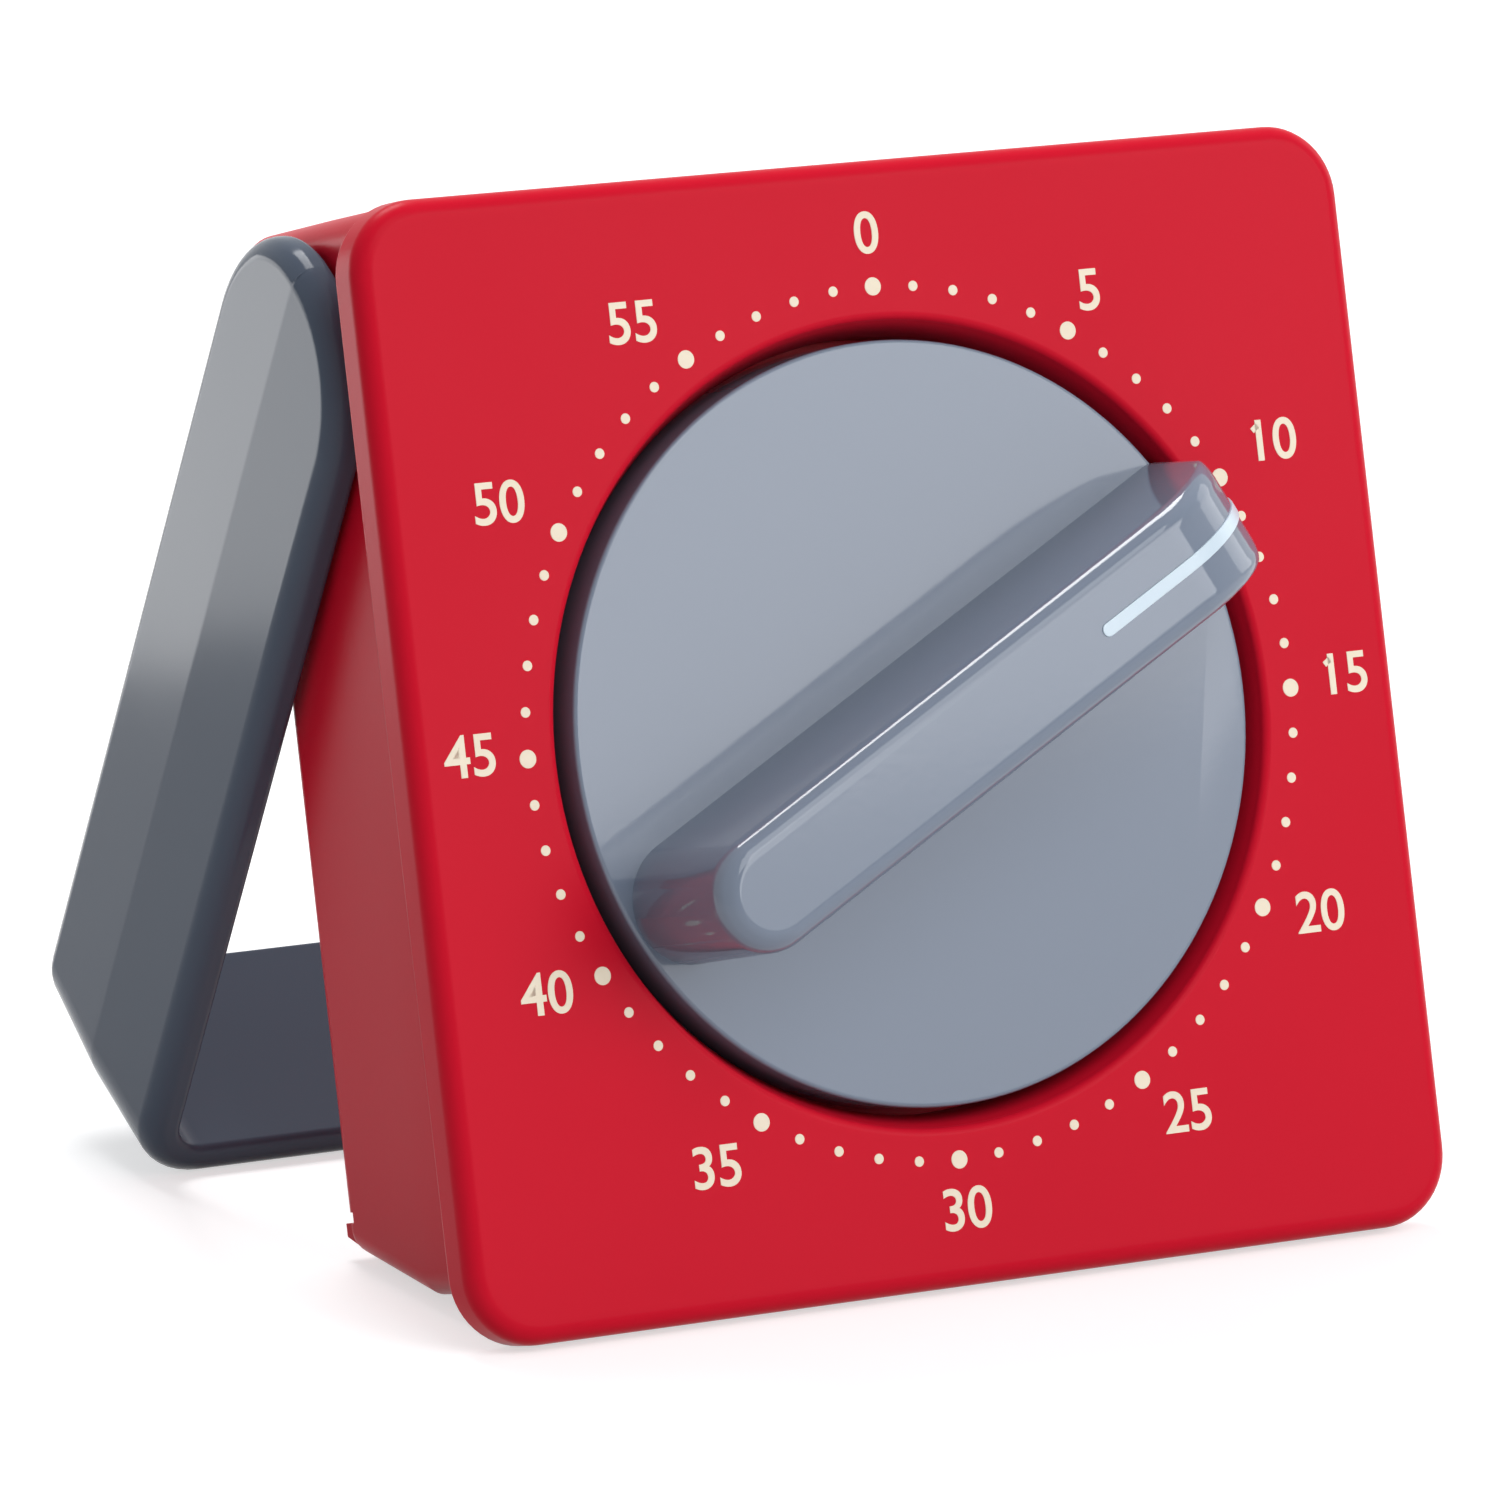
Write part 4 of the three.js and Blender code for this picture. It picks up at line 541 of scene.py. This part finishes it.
# the nose is cut across often enough for its top to be bent down in a quarter of an ellipse
cuts = {
    round(nose_start + NOSE_LENGTH * math.sin(math.radians(degrees)), 3)
    for degrees in range(0, 56, 5)
}
for x in sorted(cuts | nose_stations()):
    if x < NOSE_REACH - 0.05:
        bpy.ops.mesh.select_all(action="SELECT")
        bpy.ops.mesh.bisect(plane_co=(x, 0, 0), plane_no=(1, 0, 0))
bpy.ops.mesh.select_all(action="SELECT")
bpy.ops.mesh.remove_doubles(threshold=0.002)
for x in sorted(nose_stations()):
    pick("VERT", lambda vert: abs(vert.co.x - x) < 0.0006 and vert.co.y < -0.01)
    widen(1, nose_height(x) / FIN_HEIGHT, 1)
bpy.ops.mesh.select_all(action="SELECT")
bpy.ops.mesh.normals_make_consistent(inside=False)
shaped()
combine(knob, fin, "UNION")
polish(knob, 38)
knob.matrix_world = Matrix.Rotation(-math.radians(POINTER_BEARING), 4, "Y")
settle(knob, "knob", grey_plastic)
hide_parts("knob")

# ------------------------------------------------------------------ pointer line
# A strip of pale plastic let into the top of the fin's nose, which runs over the nose and
# down its end. It stands a little proud of the fin.
POINTER_START = 9.3
POINTER_STUB = 0.5
POINTER_END_HEIGHT = 3.2
POINTER_WIDTH = 0.95
POINTER_PROUD = 0.12
POINTER_INSET = 0.6
POINTER_EDGE = 0.08
PALE = (0.82, 0.88, 0.92)
DULL_PALE = (0.79, 0.86, 0.91)


def turns(edge):
    """The angle between the two faces at an edge, in degrees."""
    return math.degrees(edge.calc_face_angle(0))


pale_plastic = moulded("pale_plastic", PALE, DULL_PALE, patch=8, roughness=0.3, grain=0.05)

strip = cube(
    "pointer_line",
    (POINTER_START, -FIN_HEIGHT - POINTER_PROUD, -POINTER_WIDTH / 2),
    (POINTER_START + POINTER_STUB, -FIN_HEIGHT + POINTER_INSET, POINTER_WIDTH / 2),
)
shaping(strip)
pick("EDGE", lambda edge: runs(edge, 1) and lies(edge, 0, POINTER_START))
bevel(POINTER_WIDTH / 2 - 0.01, 6)

# the strip's end is drawn out along the fin, and turned at each step to lie square to its way
pick("FACE", lambda face: face.normal.x > 0.99)
line = [Vector((nose_start, -FIN_HEIGHT, 0))]
for degrees in range(6, 90, 6):
    reach = nose_start + NOSE_LENGTH * math.sin(math.radians(degrees))
    if nose_height(reach) > POINTER_END_HEIGHT:
        line.append(Vector((reach, -nose_height(reach), 0)))
ways = [math.atan2((b - a).y, (b - a).x) for a, b in zip(line, line[1:])]
ways = [0, *ways[1:], ways[-1] + 0.1]
last, slope = Vector((POINTER_START + POINTER_STUB, -FIN_HEIGHT, 0)), 0
for here, way in zip(line, ways):
    extrude(*(here - last))
    bpy.ops.transform.rotate(value=-(way - slope), orient_axis="Z", center_override=here)
    last, slope = here, way
pick("EDGE", lambda edge: turns(edge) > 50)
bevel(POINTER_EDGE, 2)
shaped()
polish(strip)
strip.matrix_world = Matrix.Rotation(-math.radians(POINTER_BEARING), 4, "Y")
settle(strip, "knob", pale_plastic)
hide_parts("pointer_inlay")

# ------------------------------------------------------------------ case
# The red box behind the bezel, one moulding with drafted sides, a floor that slopes up to the
# rear so that the timer can lean, slots over the bell, and a lip under a groove along its rear.
CASE_FRONT = 3.7
CASE_REAR = 25.5
CASE_HALF_WIDTH = 34
CASE_TOP = 37.4
CASE_BOTTOM = -34
CASE_WALL = 1.8
CASE_DRAFT = 0.5
CASE_CORNER = 2.5
CASE_REAR_EDGE = 1.4
INNER_CORNER = 1
INNER_REAR_EDGE = 0.5
ROOF_DROP = 0.2
ROOF_DROP_AT_BEND = 0.4 * ROOF_DROP
CASE_BEND = 13.6
FLOOR_SLOPE = 15.1
FLOOR_CORNER_SHARE = 0.64
LIP_ABOVE_FLOOR = 1.81
LIP_HEIGHT = 0.85
LIP_FLARE = 0.6
LIP_ROOT = 0.9
LIP_REACH = 0.7
LIP_HALF_WIDTH = 33.1
LIP_EDGE = 0.15
GROOVE_HEIGHT = 0.75
GROOVE_DEPTH = 1.5
SCREW_PLACES = [(27.5, 27), (-27.5, 27), (-27.5, -24.5), (27.5, -24.5)]
BOSS_RADIUS = 4.5
BOSS_FRONT = 21.6
BOSS_REAR = 24.6
COUNTERBORE_RADIUS = 3
COUNTERBORE_FRONT = 23.2
SCREW_HOLE_RADIUS = 1.6
SCREW_HOLE_FRONT = 20
SLOT_COUNT = 7
SLOT_PITCH = 4.2
SLOT_WIDTH = 1.8
SLOT_LENGTH = 24
SLOT_CENTRE = (3, -4)
SLOT_DEPTH = 4

floor_rise = (CASE_REAR - CASE_BEND) * math.tan(math.radians(FLOOR_SLOPE))


def box_body(name, wall, front, corner, edge):
    """The form of the case, all smaller by a wall."""
    rear, half = CASE_REAR - wall, CASE_HALF_WIDTH - wall
    body = cube(name, (-half, front, CASE_BOTTOM + wall), (half, rear, CASE_TOP - wall))
    shaping(body)
    bpy.ops.mesh.select_all(action="SELECT")
    bpy.ops.mesh.bisect(plane_co=(0, CASE_BEND, 0), plane_no=(0, 1, 0))
    pick("VERT", lambda vert: vert.co.y > rear - 1)
    widen((half - CASE_DRAFT) / half, 1, 1)
    pick("VERT", lambda vert: vert.co.y > rear - 1 and vert.co.z > 0)
    bpy.ops.transform.translate(value=(0, 0, -ROOF_DROP))
    pick("VERT", lambda vert: vert.co.y > rear - 1 and vert.co.z < 0)
    share = (rear - CASE_BEND) / (CASE_REAR - CASE_BEND)
    bpy.ops.transform.translate(value=(0, 0, floor_rise * share))
    pick("VERT", lambda vert: abs(vert.co.y - CASE_BEND) < 0.01 and vert.co.z > 0)
    bpy.ops.transform.translate(value=(0, 0, -ROOF_DROP_AT_BEND))
    for side, radius in ((1, corner), (-1, corner * FLOOR_CORNER_SHARE)):
        pick(
            "EDGE",
            lambda edge: abs((ends(edge)[0] - ends(edge)[1]).y) > 5
            and all(abs(end.x) > half - 1 and end.z * side > 0 for end in ends(edge)),
        )
        bevel(radius, 10)
    pick("EDGE", lambda edge: lies(edge, 1, rear))
    bevel(edge, 6)
    shaped()
    return body


case = box_body("case", 0, CASE_FRONT, CASE_CORNER, CASE_REAR_EDGE)
inside = box_body("inside", CASE_WALL, CASE_FRONT - PAST, INNER_CORNER, INNER_REAR_EDGE)
combine(case, inside)

lip_top = CASE_BOTTOM + floor_rise + LIP_ABOVE_FLOOR
lip = cube(
    "lip",
    (-LIP_HALF_WIDTH, CASE_REAR - LIP_ROOT, lip_top - LIP_HEIGHT),
    (LIP_HALF_WIDTH, CASE_REAR + LIP_REACH, lip_top),
)
shaping(lip)
pick("VERT", lambda vert: vert.co.y < CASE_REAR and vert.co.z < lip_top - 0.1)
bpy.ops.transform.translate(value=(0, 0, -LIP_FLARE))
pick("EDGE", lambda edge: lies(edge, 1, CASE_REAR + LIP_REACH))
bevel(LIP_EDGE, 3)
shaped()
combine(case, lip, "UNION")
groove = cube(
    "groove",
    (-CASE_HALF_WIDTH - PAST, CASE_REAR - GROOVE_DEPTH, lip_top),
    (CASE_HALF_WIDTH + PAST, CASE_REAR + 2 * PAST, lip_top + GROOVE_HEIGHT),
)
combine(case, groove)
for x, z in SCREW_PLACES:
    combine(case, cylinder("boss", BOSS_RADIUS, BOSS_FRONT, BOSS_REAR, x, z), "UNION")
    bore = cylinder("counterbore", COUNTERBORE_RADIUS, COUNTERBORE_FRONT, CASE_REAR + PAST, x, z)
    combine(case, bore)
    hole = cylinder("screw_hole", SCREW_HOLE_RADIUS, SCREW_HOLE_FRONT, CASE_REAR, x, z, sides=24)
    combine(case, hole)
for index in range(SLOT_COUNT):
    x, z = SLOT_CENTRE[0] + (index - (SLOT_COUNT - 1) / 2) * SLOT_PITCH, SLOT_CENTRE[1]
    slot = cube(
        "slot",
        (x - SLOT_WIDTH / 2, CASE_REAR - SLOT_DEPTH, z - SLOT_LENGTH / 2),
        (x + SLOT_WIDTH / 2, CASE_REAR + PAST, z + SLOT_LENGTH / 2),
    )
    shaping(slot)
    pick("EDGE", lambda edge: runs(edge, 1))
    bevel(SLOT_WIDTH / 2 - 0.001, 6)
    shaped()
    combine(case, slot)
polish(case)
settle(case, "timer", red_plastic)
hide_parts("case_shell")

# ------------------------------------------------------------------ stand
# A U-shaped frame moulded in slate-grey plastic, its arms creased along their middles. The round
# ends of the arms turn on pins in the sides of the case, and it swings out behind as a foot.
STAND_OUTSIDE = 37
STAND_THICKNESS = 2.7
STAND_FRONT = 4.7
STAND_REAR = 24.2
STAND_CREASE = 14.25
STAND_BOTTOM = -37.1
STAND_CORNER = 5
STAND_EAR = 24.7
STAND_OPEN = 42
OUTER_SKIN_TURN = 4.2  # degrees that the skin turns inwards behind the crease
INNER_SKIN_TURN = 1.7
STAND_ROUNDING = 1.55
INNER_ROUNDING_SHARE = 0.4
CREASE_ROUNDING_SHARE = 0.1
PIVOT = (0, 12.5, 28.3)
SLATE = (0.32, 0.36, 0.42)
DARK_SLATE = (0.31, 0.35, 0.41)

inner_skin = -STAND_OUTSIDE + STAND_THICKNESS
ear_radius = (STAND_REAR - STAND_FRONT) / 2
corner = (-STAND_OUTSIDE + STAND_CORNER, STAND_CREASE, STAND_BOTTOM + STAND_CORNER)
stand = cube(
    "fold_out_stand",
    (-STAND_OUTSIDE, STAND_FRONT, corner[2]),
    (inner_skin, STAND_REAR, STAND_EAR + ear_radius),
)
shaping(stand)
pick("EDGE", lambda edge: runs(edge, 0) and ends(edge)[0].z > STAND_EAR)
bevel(ear_radius, 20)
bpy.ops.mesh.select_all(action="SELECT")
bpy.ops.mesh.remove_doubles(threshold=0.001)
bpy.ops.mesh.bisect(plane_co=(0, STAND_CREASE, 0), plane_no=(0, 1, 0))
for skin, turn in ((-STAND_OUTSIDE, OUTER_SKIN_TURN), (inner_skin, INNER_SKIN_TURN)):
    pick("VERT", lambda vert: abs(vert.co.x - skin) < 0.01 and vert.co.y > STAND_CREASE + 0.01)
    bpy.ops.transform.rotate(
        value=math.radians(turn), orient_axis="Z", center_override=(skin, STAND_CREASE, 0)
    )
pick("FACE", lambda face: face.normal.z < -0.99)
bpy.ops.mesh.spin(steps=10, angle=math.pi / 2, center=corner, axis=(0, 1, 0))
extrude(-corner[0], 0, 0)
bpy.ops.mesh.delete(type="FACE")
shaped()
other_half = stand.modifiers.new("other half", "MIRROR")
other_half.use_clip = True
only(stand)
bpy.ops.object.modifier_apply(modifier=other_half.name)
shaping(stand)
bpy.ops.mesh.select_all(action="SELECT")
bpy.ops.mesh.remove_doubles(threshold=0.001)
bpy.ops.mesh.normals_make_consistent(inside=False)


def outer(edge):
    """True for the edges of the stand's outer skin."""
    return any(
        face.normal.x * (1 if face.calc_center_median().x > 0 else -1) > 0.3
        or face.normal.z < -0.3
        for face in edge.link_faces
        if abs(face.normal.y) < 0.5
    )


# the outer edges are well rounded, the inner ones less, and the crease only a little
pick("EDGE", lambda edge: turns(edge) > 40 and outer(edge))
bpy.ops.transform.edge_bevelweight(value=1)
pick("EDGE", lambda edge: turns(edge) > 40 and not outer(edge))
bpy.ops.transform.edge_bevelweight(value=INNER_ROUNDING_SHARE)
pick("EDGE", lambda edge: lies(edge, 1, STAND_CREASE) and outer(edge) and turns(edge) > 3)
bpy.ops.transform.edge_bevelweight(value=CREASE_ROUNDING_SHARE)
shaped()
rounded = stand.modifiers.new("rounded", "BEVEL")
rounded.width = STAND_ROUNDING
rounded.segments = 6
rounded.use_clamp_overlap = False
rounded.limit_method = "WEIGHT"
only(stand)
bpy.ops.object.modifier_apply(modifier=rounded.name)
polish(stand, 25)
stand.matrix_world = (
    Matrix.Translation(PIVOT)
    @ Matrix.Rotation(math.radians(STAND_OPEN), 4, "X")
    @ Matrix.Translation(-Vector(PIVOT))
)
slate_plastic = moulded(
    "slate_plastic",
    SLATE,
    DARK_SLATE,
    patch=25,
    roughness=0.14,
    grain=0.03,
    Specular_IOR_Level=0.1,
)
settle(stand, "stand", slate_plastic)
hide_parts("stand")

# ------------------------------------------------------------------ movement, pins and screws
# The clockwork inside is stamped brass and turned steel, with a blued spring and a nickelled
# bell. Steel pins carry the stand and steel screws hold the case.
SCRATCH_SIZE = 0.4
SCRATCH_DEPTH = 0.03


def metal(name, colour, other, roughness, scratches):
    """Bare metal, a little uneven in colour and gloss."""
    material, shader, place = finish(name, Metallic=1.0)
    feed(
        shader,
        Base_Color=tint(clouds(place, 6), colour, other),
        Roughness=between(roughness * 0.8, roughness * 1.3, clouds(place, 2.5)),
        Normal=relief(clouds(place, SCRATCH_SIZE, 3.0), scratches, SCRATCH_DEPTH),
    )
    return material


metals = {
    "brass": metal("brass", (0.86, 0.70, 0.38), (0.80, 0.63, 0.33), 0.3, 0.2),
    "steel": metal("steel", (0.74, 0.75, 0.77), (0.68, 0.69, 0.71), 0.28, 0.2),
    "spring_steel": metal("spring_steel", (0.40, 0.44, 0.52), (0.34, 0.37, 0.46), 0.25, 0.1),
    "bell_metal": metal("bell_metal", (0.86, 0.86, 0.84), (0.80, 0.80, 0.78), 0.16, 0.05),
}
for part in frame["record"]["subparts"]:
    node, slot = frame["nodes"][part["node"]], part["material_slot"]
    if slot in metals:
        node.data.materials.clear()
        node.data.materials.append(metals[slot])

# ------------------------------------------------------------------ floor and light
# A pale table top in a white room. Two soft boxes to the front right, a light above, one above
# and behind, and one at the right. A card behind shows in the gloss of the stand only.
FLOOR_SIZE = 8
FLOOR_GLOW = 0.6
FLOOR_GREY = (0.8, 0.8, 0.8)
DULL_FLOOR_GREY = (0.79, 0.79, 0.79)
ROOM_GREY = (0.31, 0.32, 0.34, 1)
LIT_PLACE = (0, 0, 0.036)
CARD = "rear card"
LAMPS = (  # name, place, width, height, power
    ("low softbox", (0.476, -0.851, 0.42), 0.7, 0.6, 2.15),
    ("high softbox", (0.476, -0.851, 0.55), 0.7, 0.6, 3.1),
    ("top light", (0.0, -0.65, 0.8), 0.5, 0.5, 2.2),
    ("rear top light", (0.05, 0.45, 0.85), 0.4, 0.4, 5.5),
    ("right light", (0.9, 0.1, 0.35), 0.35, 0.6, 0.9),
    (CARD, (-0.125, 0.17, 0.045), 0.15, 0.09, 0.15),
)


def in_view(flow):
    """1 on rays that bring a surface into view, straight, in gloss or through glass, else 0."""
    straight = flow.add("ShaderNodeLightPath", output="Is Camera Ray")
    rays = straight.socket.node.outputs
    return straight + Flow(rays["Is Glossy Ray"]) + Flow(rays["Is Transmission Ray"])


floor_white, shader, place = finish(
    "floor_white", Roughness=0.8, Specular_IOR_Level=0.2, Emission_Strength=FLOOR_GLOW
)
feed(
    shader,
    Base_Color=tint(clouds(place, 90), FLOOR_GREY, DULL_FLOOR_GREY),
    Emission_Color=tint(in_view(place), (0, 0, 0), (1, 1, 1)),
)
bpy.ops.mesh.primitive_plane_add(size=FLOOR_SIZE)
table_top = named("table_top")
table_top.data.materials.append(floor_white)

room = bpy.data.worlds.new("white room")
bpy.context.scene.world = room
room.use_nodes = True
air = room.node_tree.nodes["Background"]
shown = in_view(Flow(air.outputs[0]))
light = shown.add(
    "ShaderNodeMix",
    {"data_type": "RGBA", "clamp_factor": True},
    {0: shown, 6: ROOM_GREY, 7: (1, 1, 1, 1)},
    output=2,
)
feed(air, Color=light)

for name, where, wide, tall, power in LAMPS:
    bpy.ops.object.light_add(type="AREA", location=where)
    lamp = bpy.context.object
    lamp.name = name
    lamp.data.shape = "RECTANGLE"
    lamp.data.size = wide
    lamp.data.size_y = tall
    lamp.data.energy = power
    lamp.rotation_mode = "QUATERNION"
    lamp.rotation_quaternion = (Vector(where) - Vector(LIT_PLACE)).to_track_quat("Z", "Y")
    lamp.visible_diffuse = name != CARD

# ------------------------------------------------------------------ camera
# A long lens from the front, to the left of the dial and level with its centre. Its place and
# the ways that its picture runs are given against the dial, as if the timer stood upright.
CAMERA_LENS = 279.2
CAMERA_FILM = 36
CAMERA_NEAR = 0.05
CAMERA_PLACE = (-376.5, -672.8, -1.8)
CAMERA_RIGHT = (0.8741, -0.4725, -0.1124)
CAMERA_DOWN = (-0.0981, 0.0549, -0.9937)
CAMERA_FORWARD = (0.4757, 0.8796, 0.0016)

bpy.ops.object.camera_add()
camera = bpy.context.object
camera.data.lens = CAMERA_LENS
camera.data.sensor_width = CAMERA_FILM
camera.data.clip_start = CAMERA_NEAR
turned = Matrix((CAMERA_RIGHT, -Vector(CAMERA_DOWN), -Vector(CAMERA_FORWARD))).transposed()
camera.matrix_world = (
    Matrix.Translation(standing @ Vector(CAMERA_PLACE))
    @ Matrix.Rotation(-lean, 4, "X")
    @ turned.to_4x4()
)
bpy.context.scene.camera = camera
bpy.context.scene.view_settings.view_transform = "Standard"
